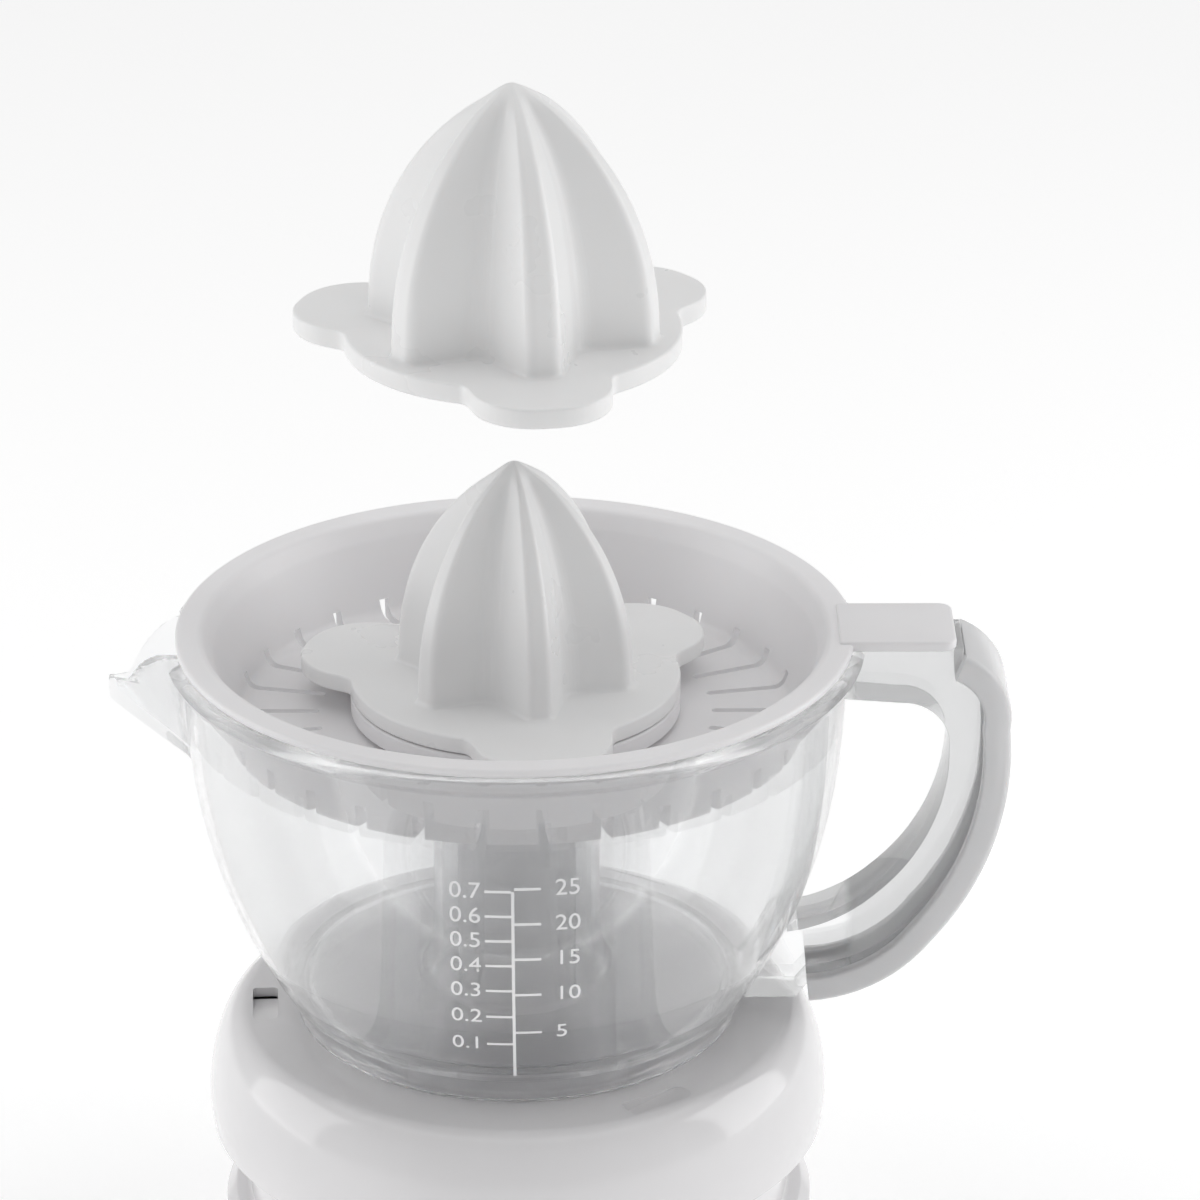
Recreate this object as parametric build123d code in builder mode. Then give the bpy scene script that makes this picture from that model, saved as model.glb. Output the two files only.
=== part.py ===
from build123d import *
from math import atan2, cos, degrees, radians, sin, sqrt
import os

# Electric citrus press: a clear jug with a strainer and two reaming cones, on a geared motor base.
# Millimetres. Z is up along the spindle, z = 0 is the table, the spout points to -X, the handle to +X.

# ---------------------------------------------------------------- clearances
SEAT_GAP = 0.3          # between faces that rest on each other and lift apart
RUN_GAP = 0.06          # radial, shaft in bush
FIT_GAP = 0.1           # radial, pieces pressed or screwed together in one body

# ---------------------------------------------------------------- base casing
FOOT_STANDOFF = 3.0     # tray bottom above the table
FOOT_R = 7.0
FOOT_RING_R = 54.0
FOOT_RECESS = 1.2
TRAY_R = 71.0
TRAY_EDGE = 5.0         # radius of the tray's lower edge
TRAY_RIM_H = 23.0       # height of the tray's full-width wall
GROOVE_DEPTH = 6.0      # cord-wrap groove under the upper housing
GROOVE_H = 20.0
WALL = 2.4
FLOOR_T = 2.6
HOUSING_R = 74.2        # widest radius of the upper housing
HOUSING_LIP_H = 6.5     # from the housing's lower edge to its widest line
DOME_H = 22.0           # from the widest line up to the deck
DECK_R = 64.5           # outer edge of the deck the jug stands on
PLATEAU_H = 2.2
POCKET_COUNT = 3
POCKET_START = 63.0
POCKET_R = 60.5
POCKET_LEN = 17.0
POCKET_W = 6.0
POCKET_DEPTH = 2.6
POCKET_RAMP = 6.0       # degrees

# ---------------------------------------------------------------- jug
JUG_H = 95.2            # from the foot ring to the rim
JUG_FOOT_R = 52.6
JUG_FOOT_H = 7.2
JUG_FLOOR_R = 55.2
JUG_RIM_R = 77.3        # outside of the wall just under the rim
JUG_WALL = 2.2
JUG_FLOOR_T = 2.5
JUG_SWELL = 2.4         # exponent of the wall's curve
RIM_BAND_R = 81.5
RIM_BAND_H = 5.5
TUBE_R = 19.7           # outside of the centre tube
TUBE_FOOT_R = 24.5
TUBE_FOOT_H = 15.0
TUBE_WALL = 2.0
TOWER_GAP = 3.6         # base tower to the inside of the tube
SPOUT_HALF_W = 16.0
SPOUT_REACH = 95.0
SPOUT_DROP = 10.5       # tip of the lip below the rim
SPOUT_ROOT_DROP = 36.0
SPOUT_WALL = 1.6
SPOUT_TIP_HALF = 2.6
SPOUT_TIP_H = 6.0       # height of the V at the lip's tip
HANDLE_REACH = 115.0
HANDLE_T = 14.0
HANDLE_TOP_T = 14.0
HANDLE_LOW_T = 17.0
HANDLE_WEB_W = 17.0
STRAP_W = 24.0
STRAP_T = 3.2           # skin over the web
STRAP_CHEEK = 6.5       # depth of the strap's cheeks beside the web
STRAP_STOP = 14.0       # lower end of the strap, outside the jug's floor radius
STRAP_START_H = 30.0    # the strap's upper end is cut square down to this depth
TAB_TO_STRAP = 2.0

# ---------------------------------------------------------------- strainer
STRAINER_R = 67.4       # bottom edge
STRAINER_DEPTH = 23.8
STRAINER_WALL = 1.9
FLANGE_T = 2.0
FLANGE_IN = 2.4         # flange edge inside the jug's rim edge
SLOT_COUNT = 30
SLOT_W = 1.8
SLOT_IN_R = 46.0
SLOT_RISE = 6.0
HUB_R = 36.4
HUB_H = 3.1
HUB_HOLE_R = 6.0
TAB_LEN = 25.0
TAB_W = 23.0
TAB_T = 2.6

# ---------------------------------------------------------------- cones
COLLAR_T = 2.2
COLLAR_LEG = 2.2
RIDGE_POWER = 2.3       # the ridge line is (1 - t ** RIDGE_POWER) ** RIDGE_ROUND of the foot's radius
RIDGE_ROUND = 0.75
FIN_COUNT = 6
FIN_START = -77.5
FIN_TAPER = 0.45
LOBE_COUNT = 3
LOBE_START = -80.0
LOBE_TIP_R = 52.5
LOBE_W = 32.0
CONE_DISC_R = 38.6
SMALL_FLANGE_T = 4.2
SMALL_H = 53.4
SMALL_TIP_R = 28.4
SMALL_TIP_W = 2.6
LARGE_FLANGE_T = 4.8
LARGE_H = 58.2
LARGE_TIP_R = 34.2
LARGE_TIP_W = 3.6
CONE_WALL = 2.0
HOVER = 81.2            # the large cone is stored lifted this far above its seat
SOCKET_R = 7.2
CORE_R = 11.0
CORE_TAPER = 5.0        # degrees
TIP_ROUND = 0.9         # rounding of the fins' tips, as a share of their half width
VALLEY_ROUND = 6.0
FIN_WALL = 1.6          # half width taken off each fin inside the large cone

# ---------------------------------------------------------------- drive
SPINDLE_R = 4.0
SPINDLE_HEX = 6.9       # across flats
PRESS_TRAVEL = 1.6
TOWER_WALL = 2.2
BUSH_T = 2.0
BUSH_H = 10.0
MODULES = (0.7, 0.8, 1.0)
DRIVER_TEETH = (10, 12, 14)
DRIVEN_TEETH = (44, 42, 49)
GEAR_FACE = 4.0
GEAR_STEP = 1.4         # air between gear layers
PINION_EXTRA = 0.4      # pinions are this much longer than the wheels they drive
PLATE_T = 2.0
AXLE_R = 1.5
MOTOR_R = 19.0
MOTOR_H = 20.0
ROTOR_R = 10.0
SHAFT_R = 1.6

# ---------------------------------------------------------------- levels
tray_z = FOOT_STANDOFF
groove_z = tray_z + TRAY_RIM_H
housing_z = groove_z + GROOVE_H
wide_z = housing_z + HOUSING_LIP_H
deck_z = wide_z + DOME_H
plateau_z = deck_z + PLATEAU_H
jug_z = deck_z + SEAT_GAP
jug_floor_z = jug_z + JUG_FOOT_H
rim_z = jug_z + JUG_H
flange_z = rim_z + SEAT_GAP
strainer_z = flange_z + FLANGE_T - STRAINER_DEPTH
strainer_floor_top = strainer_z + STRAINER_WALL
hub_top = strainer_floor_top + HUB_H
collar_z = hub_top + SEAT_GAP
small_z = collar_z + COLLAR_T + SEAT_GAP
small_top = small_z + SMALL_FLANGE_T
large_z = small_top + SEAT_GAP + HOVER
large_top = large_z + LARGE_FLANGE_T
tube_top = hub_top - STRAINER_WALL - 2 * SEAT_GAP
groove_r = TRAY_R - GROOVE_DEPTH
tower_r = TUBE_R - TUBE_WALL - TOWER_GAP
tower_top = tube_top - 8.0
motor_z = tray_z + FLOOR_T + 3.0
plate_z = motor_z + MOTOR_H + 0.6
layer_z = [plate_z + PLATE_T + 1.0 + i * (GEAR_FACE + GEAR_STEP) for i in range(3)]
layer_z[2] += PRESS_TRAVEL
cover_z = layer_z[2] + GEAR_FACE + GEAR_STEP


def jug_radius(z):
    """Outside radius of the jug's wall at height z."""
    t = (z - jug_floor_z) / (rim_z - RIM_BAND_H - jug_floor_z)
    return JUG_FLOOR_R + (JUG_RIM_R - JUG_FLOOR_R) * (1 - (1 - t) ** JUG_SWELL)


def polar(radius, angle):
    """Point at a radius and an angle in degrees."""
    return (radius * cos(radians(angle)), radius * sin(radians(angle)))


def gear_points(teeth, module, phase):
    """Closed outline of a spur gear with one tooth centred on the phase angle."""
    pitch = 360.0 / teeth
    pitch_r = module * teeth / 2
    root = pitch_r - 1.2 * module
    tip = pitch_r + 0.9 * module
    steps = ((root, -0.33), (pitch_r, -0.225), (tip, -0.11), (tip, 0.11), (pitch_r, 0.225), (root, 0.33))
    return [polar(r, phase + (k + part) * pitch) for k in range(teeth) for r, part in steps]


def fin_points(tip_r, tip_w):
    """Corners of a cone's cross-section: two at each fin's tip and one in each valley."""
    half = 180.0 / FIN_COUNT
    valley_r = (tip_w + FIN_TAPER * tip_r) / (sin(radians(half)) + FIN_TAPER * cos(radians(half)))
    tip_angle = degrees(atan2(tip_w, tip_r))
    tip_d = sqrt(tip_r ** 2 + tip_w ** 2)
    points = []
    for k in range(FIN_COUNT):
        a = FIN_START + 2 * half * k
        points += [polar(tip_d, a - tip_angle), polar(tip_d, a + tip_angle), polar(valley_r, a + half)]
    return points


def save(piece, name):
    """Label a finished piece and write it."""
    piece.label = name
    export_step(piece, f"parts/{name}.step")


os.makedirs("parts", exist_ok=True)

# ================================================================ base casing
screw_sites = [polar(56.0, a) for a in (20.0, 110.0, 200.0, 290.0)]
# four feet near the edge, and one in the middle that takes the push of the hand down the spindle
foot_sites = [polar(FOOT_RING_R, a) for a in (45.0, 135.0, 225.0, 315.0)] + [(0.0, 0.0)]
POST_R = 4.0
SCREW_R = 1.6
HEAD_R = 3.0
PILOT_R = 1.3
PILOT_H = 12.0
POST_GAP = 2.0
SCREW_HOLE_H = 14.0     # depth of the screw holes up into the housing's posts
SCREW_BITE = 12.0       # screw's length above the joint of the two shells
SCREW_SINK = 10.0       # depth of the screw heads above the tray's underside
HEAD_H = 2.2
VENT_PITCH = 6.0
VENT_COUNT = 4
VENT_LEN = 24.0
VENT_W = 2.4
GLAND_R = 4.2
GLAND_FLANGE_R = 6.2
GLAND_FLANGE_T = 3.0
GLAND_BORE_R = 2.8
CAP_H = 0.6             # how much the housing's skirt leans in below its widest line
gland_z = tray_z + 12.0
plateau_r = JUG_FOOT_R - 2.6
skirt_in_r = groove_r - WALL - POST_GAP
plate_sites = [polar(44.0, a) for a in (-20.0, 60.0, 215.0, 270.0)]
centre_d = [m * (a + b) / 2 for m, a, b in zip(MODULES, DRIVER_TEETH, DRIVEN_TEETH)]
# angles of the lines from each driver to the gear it drives: motor, first idler, second idler
mesh_a = (45.0, 0.0, -90.0)
idler_2_c = (0.0, centre_d[2])
idler_1_c = (idler_2_c[0] - centre_d[1], idler_2_c[1])
motor_reach = polar(centre_d[0], mesh_a[0])
motor_c = (idler_1_c[0] - motor_reach[0], idler_1_c[1] - motor_reach[1])

with BuildPart() as upper_housing:
    with BuildSketch(Plane.XZ):
        with BuildLine():
            Polyline((0, plateau_z), (plateau_r, plateau_z), (plateau_r, deck_z), (DECK_R, deck_z))
            EllipticalCenterArc((DECK_R, wide_z), HOUSING_R - DECK_R, DOME_H, arc_size=90)
            Polyline((HOUSING_R, wide_z), (HOUSING_R - CAP_H, housing_z), (skirt_in_r, housing_z),
                     (skirt_in_r, housing_z + WALL), (HOUSING_R - WALL - CAP_H, housing_z + WALL),
                     (HOUSING_R - WALL, wide_z))
            EllipticalCenterArc((DECK_R, wide_z), HOUSING_R - DECK_R - WALL, DOME_H - WALL, arc_size=90)
            Polyline((DECK_R, deck_z - WALL), (plateau_r - WALL, deck_z - WALL),
                     (plateau_r - WALL, plateau_z - WALL), (0, plateau_z - WALL), (0, plateau_z))
        make_face()
    revolve(axis=Axis.Z)
    # ramped pockets in the deck
    with PolarLocations(POCKET_R, POCKET_COUNT, start_angle=POCKET_START):
        with Locations((0, 0, deck_z)):
            Box(POCKET_W, POCKET_LEN, POCKET_DEPTH, rotation=(POCKET_RAMP, 0, 0), mode=Mode.SUBTRACT)
    # tower that carries the spindle up through the jug's tube
    with BuildSketch(Plane.XY.offset(plateau_z - WALL)):
        Circle(tower_r)
    extrude(amount=tower_top - plateau_z + WALL)
    with BuildSketch(Plane.XY.offset(plateau_z - WALL)):
        Circle(tower_r - TOWER_WALL)
    extrude(amount=tower_top - TOWER_WALL - plateau_z + WALL, mode=Mode.SUBTRACT)
    with BuildSketch(Plane.XY.offset(tower_top - TOWER_WALL)):
        Circle(SPINDLE_R + BUSH_T)
    extrude(amount=TOWER_WALL, mode=Mode.SUBTRACT)
    # posts for the casing screws
    with BuildSketch(Plane.XY.offset(housing_z)):
        with Locations(*screw_sites):
            Circle(POST_R)
    extrude(amount=deck_z - WALL - housing_z + WALL / 4)
    with BuildSketch(Plane.XY.offset(housing_z)):
        with Locations(*screw_sites):
            Circle(SCREW_R)
    extrude(amount=SCREW_HOLE_H, mode=Mode.SUBTRACT)
save(upper_housing.part, "upper_housing")

with BuildPart() as lower_housing:
    with BuildSketch(Plane.XZ):
        with BuildLine():
            Line((0, tray_z), (TRAY_R - TRAY_EDGE, tray_z))
            RadiusArc((TRAY_R - TRAY_EDGE, tray_z), (TRAY_R, tray_z + TRAY_EDGE), -TRAY_EDGE)
            Polyline((TRAY_R, tray_z + TRAY_EDGE), (TRAY_R, groove_z - WALL), (TRAY_R - WALL, groove_z),
                     (groove_r, groove_z), (groove_r, housing_z - FIT_GAP),
                     (groove_r - WALL, housing_z - FIT_GAP), (groove_r - WALL, groove_z - WALL),
                     (TRAY_R - WALL, groove_z - 2 * WALL), (TRAY_R - WALL, tray_z + FLOOR_T),
                     (0, tray_z + FLOOR_T), (0, tray_z))
        make_face()
    revolve(axis=Axis.Z)
    with BuildSketch(Plane.XY.offset(tray_z)):
        with Locations(*screw_sites):
            Circle(POST_R)
    extrude(amount=housing_z - FIT_GAP - tray_z)
    with BuildSketch(Plane.XY.offset(tray_z)):
        with Locations(*screw_sites):
            Circle(SCREW_R + FIT_GAP)
    extrude(amount=housing_z - tray_z, mode=Mode.SUBTRACT)
    with BuildSketch(Plane.XY.offset(tray_z)):
        with Locations(*screw_sites):
            Circle(HEAD_R + FIT_GAP)
    extrude(amount=SCREW_SINK, mode=Mode.SUBTRACT)
    with BuildSketch(Plane.XY.offset(tray_z)):
        with Locations(*foot_sites):
            Circle(FOOT_R)
    extrude(amount=FOOT_RECESS, mode=Mode.SUBTRACT)
    # cooling slots under the motor
    with BuildSketch(Plane.XY.offset(tray_z)):
        with Locations(motor_c):
            with GridLocations(0, VENT_PITCH, 1, VENT_COUNT):
                SlotOverall(VENT_LEN, VENT_W)
    extrude(amount=FLOOR_T, mode=Mode.SUBTRACT)
    # hole for the cord gland
    with BuildSketch(Plane.XZ.offset(-TRAY_R)):
        with Locations((0, gland_z)):
            Circle(GLAND_R)
    extrude(amount=2 * WALL, mode=Mode.SUBTRACT)
    # posts for the gear plate and a ring under the motor
    with BuildSketch(Plane.XY.offset(tray_z + FLOOR_T)):
        with Locations(*plate_sites):
            Circle(POST_R)
    extrude(amount=plate_z - tray_z - FLOOR_T)
    with BuildSketch(Plane.XY.offset(plate_z)):
        with Locations(*plate_sites):
            Circle(PILOT_R)
    extrude(amount=-PILOT_H, mode=Mode.SUBTRACT)
    with BuildSketch(Plane.XY.offset(tray_z + FLOOR_T)):
        with Locations(motor_c):
            Circle(MOTOR_R)
            Circle(MOTOR_R - WALL, mode=Mode.SUBTRACT)
    extrude(amount=motor_z - tray_z - FLOOR_T)
save(lower_housing.part, "lower_housing")

with BuildPart() as cord_gland:
    with BuildSketch(Plane.XZ.offset(-TRAY_R - GLAND_FLANGE_T)):
        with Locations((0, gland_z)):
            Circle(GLAND_FLANGE_R)
    extrude(amount=GLAND_FLANGE_T)
    with BuildSketch(Plane.XZ.offset(-TRAY_R)):
        with Locations((0, gland_z)):
            Circle(GLAND_R - FIT_GAP)
    extrude(amount=WALL + GLAND_FLANGE_T)
    with BuildSketch(Plane.XZ.offset(-TRAY_R)):
        with Locations((0, gland_z)):
            Circle(GLAND_BORE_R)
    extrude(amount=TRAY_R / 2, both=True, mode=Mode.SUBTRACT)
save(cord_gland.part, "cord_gland")

with BuildPart() as feet:
    with BuildSketch(Plane.XY):
        with Locations(*foot_sites):
            Circle(FOOT_R - FIT_GAP)
    extrude(amount=tray_z + FOOT_RECESS)
save(feet.part, "feet")

with BuildPart() as housing_screws:
    with BuildSketch(Plane.XY.offset(tray_z + SCREW_SINK - HEAD_H)):
        with Locations(*screw_sites):
            Circle(HEAD_R)
    extrude(amount=HEAD_H)
    with BuildSketch(Plane.XY.offset(tray_z + SCREW_SINK)):
        with Locations(*screw_sites):
            Circle(SCREW_R)
    extrude(amount=housing_z + SCREW_BITE - tray_z - SCREW_SINK)
save(housing_screws.part, "housing_screws")

# ================================================================ motor
CAN_T = 1.2
COIL_END_GAP = 1.8      # from the can's end plates to the coils
AIR_GAP = 0.6           # radial, rotor to coils
COIL_FLANGE_T = 2.0
COIL_WAIST = 1.5
MOTOR_BUSH_R = 3.5
BUSH_STAND = 0.8        # how far the lower motor bush stands below the can
coil_z = motor_z + CAN_T + COIL_END_GAP
coil_h = MOTOR_H - 2 * (CAN_T + COIL_END_GAP)
coil_r = MOTOR_R - CAN_T - FIT_GAP
with BuildPart() as motor_can:
    with BuildSketch(Plane.XY.offset(motor_z)):
        with Locations(motor_c):
            Circle(MOTOR_R)
    extrude(amount=MOTOR_H)
    with BuildSketch(Plane.XY.offset(motor_z + CAN_T)):
        with Locations(motor_c):
            Circle(MOTOR_R - CAN_T)
    extrude(amount=MOTOR_H - 2 * CAN_T, mode=Mode.SUBTRACT)
    with BuildSketch(Plane.XY.offset(motor_z)):
        with Locations(motor_c):
            Circle(MOTOR_BUSH_R)
    extrude(amount=MOTOR_H, mode=Mode.SUBTRACT)
save(motor_can.part, "motor_can")

with BuildPart() as stator_coils:
    with BuildSketch(Plane.XY.offset(coil_z)):
        with Locations(motor_c):
            Circle(coil_r)
            Circle(ROTOR_R + AIR_GAP, mode=Mode.SUBTRACT)
    extrude(amount=coil_h)
    with BuildSketch(Plane.XY.offset(coil_z + COIL_FLANGE_T)):
        with Locations(motor_c):
            Circle(coil_r)
            Circle(coil_r - COIL_WAIST, mode=Mode.SUBTRACT)
    extrude(amount=coil_h - 2 * COIL_FLANGE_T, mode=Mode.SUBTRACT)
save(stator_coils.part, "stator_coils")

with BuildPart() as motor_bushes:
    for z in (motor_z - BUSH_STAND, motor_z + MOTOR_H - CAN_T):
        with BuildSketch(Plane.XY.offset(z)):
            with Locations(motor_c):
                Circle(MOTOR_BUSH_R)
                Circle(SHAFT_R + RUN_GAP, mode=Mode.SUBTRACT)
        extrude(amount=CAN_T + BUSH_STAND)
save(motor_bushes.part, "motor_bushes")

with BuildPart() as rotor_magnet:
    with BuildSketch(Plane.XY.offset(coil_z + AIR_GAP)):
        with Locations(motor_c):
            Circle(ROTOR_R)
            Circle(SHAFT_R, mode=Mode.SUBTRACT)
    extrude(amount=coil_h - 2 * AIR_GAP)
save(rotor_magnet.part, "rotor_magnet")

with BuildPart() as rotor_shaft:
    with BuildSketch(Plane.XY.offset(motor_z - BUSH_STAND)):
        with Locations(motor_c):
            Circle(SHAFT_R)
    extrude(amount=layer_z[0] + GEAR_FACE - motor_z + BUSH_STAND)
save(rotor_shaft.part, "rotor_shaft")

with BuildPart() as motor_pinion:
    with BuildSketch(Plane.XY.offset(layer_z[0] - PINION_EXTRA)):
        with Locations(motor_c):
            Polygon(*gear_points(DRIVER_TEETH[0], MODULES[0], mesh_a[0]), align=None)
            Circle(SHAFT_R, mode=Mode.SUBTRACT)
    extrude(amount=GEAR_FACE + PINION_EXTRA)
save(motor_pinion.part, "motor_pinion")

# ================================================================ gear train
idlers = {"idler_gear_1": (idler_1_c, 0), "idler_gear_2": (idler_2_c, 1)}
for idler_name, (centre, stage) in idlers.items():
    driven_phase = mesh_a[stage] + 180.0 + 180.0 / DRIVEN_TEETH[stage]
    wheel_points = gear_points(DRIVEN_TEETH[stage], MODULES[stage], driven_phase)
    pinion_points = gear_points(DRIVER_TEETH[stage + 1], MODULES[stage + 1], mesh_a[stage + 1])
    wheel_z = layer_z[stage]
    pinion_top = layer_z[stage + 1] + GEAR_FACE + PINION_EXTRA
    with BuildPart() as idler_gear:
        with BuildSketch(Plane.XY.offset(wheel_z)):
            with Locations(centre):
                Polygon(*wheel_points, align=None)
        extrude(amount=GEAR_FACE)
        with BuildSketch(Plane.XY.offset(wheel_z)):
            with Locations(centre):
                Polygon(*pinion_points, align=None)
        extrude(amount=pinion_top - wheel_z)
        with BuildSketch(Plane.XY.offset(wheel_z)):
            with Locations(centre):
                Circle(AXLE_R + RUN_GAP)
        extrude(amount=pinion_top - wheel_z, mode=Mode.SUBTRACT)
    save(idler_gear.part, idler_name)

GEAR_HUB_R = 8.0
HUB_STAND = 1.0         # how far the gear's hub stands above and below its face
output_phase = mesh_a[2] + 180.0 + 180.0 / DRIVEN_TEETH[2]
hub_z = layer_z[2] - HUB_STAND
with BuildPart() as output_gear:
    with BuildSketch(Plane.XY.offset(layer_z[2])):
        Polygon(*gear_points(DRIVEN_TEETH[2], MODULES[2], output_phase), align=None)
    extrude(amount=GEAR_FACE)
    with BuildSketch(Plane.XY.offset(hub_z)):
        Circle(GEAR_HUB_R)
    extrude(amount=GEAR_FACE + 2 * HUB_STAND)
    with BuildSketch(Plane.XY.offset(hub_z)):
        Circle(SPINDLE_R + FIT_GAP)
    extrude(amount=GEAR_FACE + 2 * HUB_STAND, mode=Mode.SUBTRACT)
save(output_gear.part, "output_gear")

SPINDLE_TAIL = 2.2      # below the gear plate
HEX_START = 4.0         # above the tower
HEX_IN_CONE = 12.2      # length of the hex inside the small cone
spindle_z = plate_z - SPINDLE_TAIL
hex_z = tower_top + HEX_START
spindle_top = small_z + HEX_IN_CONE - SEAT_GAP
with BuildPart() as drive_spindle:
    with BuildSketch(Plane.XY.offset(spindle_z)):
        Circle(SPINDLE_R)
    extrude(amount=hex_z - spindle_z)
    with BuildSketch(Plane.XY.offset(hex_z)):
        RegularPolygon(SPINDLE_HEX / 2, 6, major_radius=False)
    extrude(amount=spindle_top - hex_z)
save(drive_spindle.part, "drive_spindle")

PLATE_R = 50.0
COVER_R = 31.0
COVER_LOBE_R = 16.8
PILLAR_R = 3.4
PILLAR_PILOT_H = 8.0
BUSH_OUT_R = SPINDLE_R + BUSH_T
pillar_sites = [polar(34.0, -60.0), polar(34.0, -150.0), (22.5, 24.5)]
with BuildPart() as gear_plate:
    with BuildSketch(Plane.XY.offset(plate_z)):
        Circle(PLATE_R)
        with Locations(*plate_sites, *pillar_sites):
            Circle(PILOT_R, mode=Mode.SUBTRACT)
        with Locations(motor_c):
            Circle(MOTOR_BUSH_R + SEAT_GAP, mode=Mode.SUBTRACT)
        with Locations(idler_1_c, idler_2_c):
            Circle(AXLE_R, mode=Mode.SUBTRACT)
        Circle(BUSH_OUT_R, mode=Mode.SUBTRACT)
    extrude(amount=PLATE_T)
save(gear_plate.part, "gear_plate")

with BuildPart() as gear_cover:
    with BuildSketch(Plane.XY.offset(cover_z)):
        Circle(COVER_R)
        with Locations(idler_1_c, idler_2_c):
            Circle(COVER_LOBE_R)
        with Locations(*pillar_sites):
            Circle(POST_R)
    extrude(amount=PLATE_T)
    with BuildSketch(Plane.XY.offset(plate_z + PLATE_T)):
        with Locations(*pillar_sites):
            Circle(PILLAR_R)
    extrude(amount=cover_z - plate_z - PLATE_T)
    with BuildSketch(Plane.XY.offset(plate_z + PLATE_T)):
        with Locations(*pillar_sites):
            Circle(PILOT_R)
    extrude(amount=PILLAR_PILOT_H, mode=Mode.SUBTRACT)
    with BuildSketch(Plane.XY.offset(cover_z)):
        Circle(SPINDLE_R + 1.0)
        with Locations(idler_1_c, idler_2_c):
            Circle(AXLE_R)
    extrude(amount=PLATE_T, mode=Mode.SUBTRACT)
save(gear_cover.part, "gear_cover")

with BuildPart() as gear_axles:
    with BuildSketch(Plane.XY.offset(plate_z)):
        with Locations(idler_1_c, idler_2_c):
            Circle(AXLE_R)
    extrude(amount=cover_z + PLATE_T - plate_z)
save(gear_axles.part, "gear_axles")

# screws down into the tray's posts, and up into the gear cover's pillars
SMALL_HEAD_R = 2.6
SMALL_HEAD_H = 1.8
with BuildPart() as gearbox_screws:
    with BuildSketch(Plane.XY.offset(plate_z + PLATE_T)):
        with Locations(*plate_sites):
            Circle(SMALL_HEAD_R)
    extrude(amount=SMALL_HEAD_H)
    with BuildSketch(Plane.XY.offset(plate_z + PLATE_T)):
        with Locations(*plate_sites):
            Circle(PILOT_R)
    extrude(amount=-PILOT_H)
    with BuildSketch(Plane.XY.offset(plate_z)):
        with Locations(*pillar_sites):
            Circle(SMALL_HEAD_R)
    extrude(amount=-SMALL_HEAD_H)
    with BuildSketch(Plane.XY.offset(plate_z)):
        with Locations(*pillar_sites):
            Circle(PILOT_R)
    extrude(amount=PLATE_T + PILLAR_PILOT_H - FIT_GAP)
save(gearbox_screws.part, "gearbox_screws")

LOWER_BUSH_H = 6.0
LOWER_FLANGE_T = 1.0
UPPER_FLANGE_T = 1.2
BUSH_FLANGE_W = 1.6
# name: lower end of the barrel, its height, thickness of the flange (negative: under the barrel)
bushes = {
    "lower_bush": (plate_z, LOWER_BUSH_H, -LOWER_FLANGE_T),
    "upper_bush": (tower_top - BUSH_H, BUSH_H, UPPER_FLANGE_T),
}
for bush_name, (z, height, flange) in bushes.items():
    with BuildPart() as bush:
        with BuildSketch(Plane.XY.offset(z)):
            Circle(BUSH_OUT_R)
        extrude(amount=height)
        with BuildSketch(Plane.XY.offset(z + height if flange > 0 else z)):
            Circle(BUSH_OUT_R + BUSH_FLANGE_W)
        extrude(amount=flange)
        with BuildSketch(Plane.XY.offset(z)):
            Circle(SPINDLE_R + RUN_GAP)
        extrude(amount=2 * height, both=True, mode=Mode.SUBTRACT)
    save(bush.part, bush_name)

SEAL_T = 1.6
SEAL_W = 1.0
seal_z = tower_top + UPPER_FLANGE_T
with BuildPart() as spindle_seal:
    with BuildSketch(Plane.XY.offset(seal_z)):
        Circle(BUSH_OUT_R + SEAL_W)
        Circle(SPINDLE_R + RUN_GAP, mode=Mode.SUBTRACT)
    extrude(amount=SEAL_T)
save(spindle_seal.part, "spindle_seal")

# ================================================================ start switch under the spindle
SPRING_WIRE = 1.0
SPRING_TURNS = 3
spring_base_z = plate_z + LOWER_BUSH_H
spring_rise = hub_z - spring_base_z - SPRING_WIRE
spring_mean_r = BUSH_OUT_R + FIT_GAP - SPRING_WIRE / 2
with BuildPart() as return_spring:
    with BuildLine():
        Helix(pitch=spring_rise / SPRING_TURNS, height=spring_rise, radius=spring_mean_r,
              center=(0, 0, spring_base_z + SPRING_WIRE / 2))
    with BuildSketch(Plane.XZ):
        with Locations((spring_mean_r, spring_base_z + SPRING_WIRE / 2)):
            Circle(SPRING_WIRE / 2)
    sweep(is_frenet=True)
save(return_spring.part, "return_spring")

PLUNGER_R = 3.0
PLUNGER_HEAD_R = 5.0
PLUNGER_HEAD_T = 2.0
TOUCH_GAP = 0.2         # spindle, plunger and button stand this far apart
BUTTON_H = 2.0
BUTTON_SINK = 2.0
BUTTON_SIZE = (2.4, 4.0)
BUTTON_GAP = 0.15
SWITCH_H = 11.0
SWITCH_SIZE = (7.0, 22.0)
EAR_SIZE = (1.0, 6.0, 4.0)
switch_z = tray_z + FLOOR_T
switch_top = switch_z + SWITCH_H
plunger_z = switch_top + BUTTON_H + TOUCH_GAP
plunger_top = spindle_z - TOUCH_GAP
with BuildPart() as press_plunger:
    with BuildSketch(Plane.XY.offset(plunger_z)):
        Circle(PLUNGER_R)
    extrude(amount=plunger_top - plunger_z)
    with BuildSketch(Plane.XY.offset(plunger_top)):
        Circle(PLUNGER_HEAD_R)
    extrude(amount=-PLUNGER_HEAD_T)
save(press_plunger.part, "press_plunger")

with BuildPart() as switch_button:
    with BuildSketch(Plane.XY.offset(switch_top - BUTTON_SINK)):
        Rectangle(*BUTTON_SIZE)
    extrude(amount=BUTTON_H + BUTTON_SINK)
save(switch_button.part, "switch_button")

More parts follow.
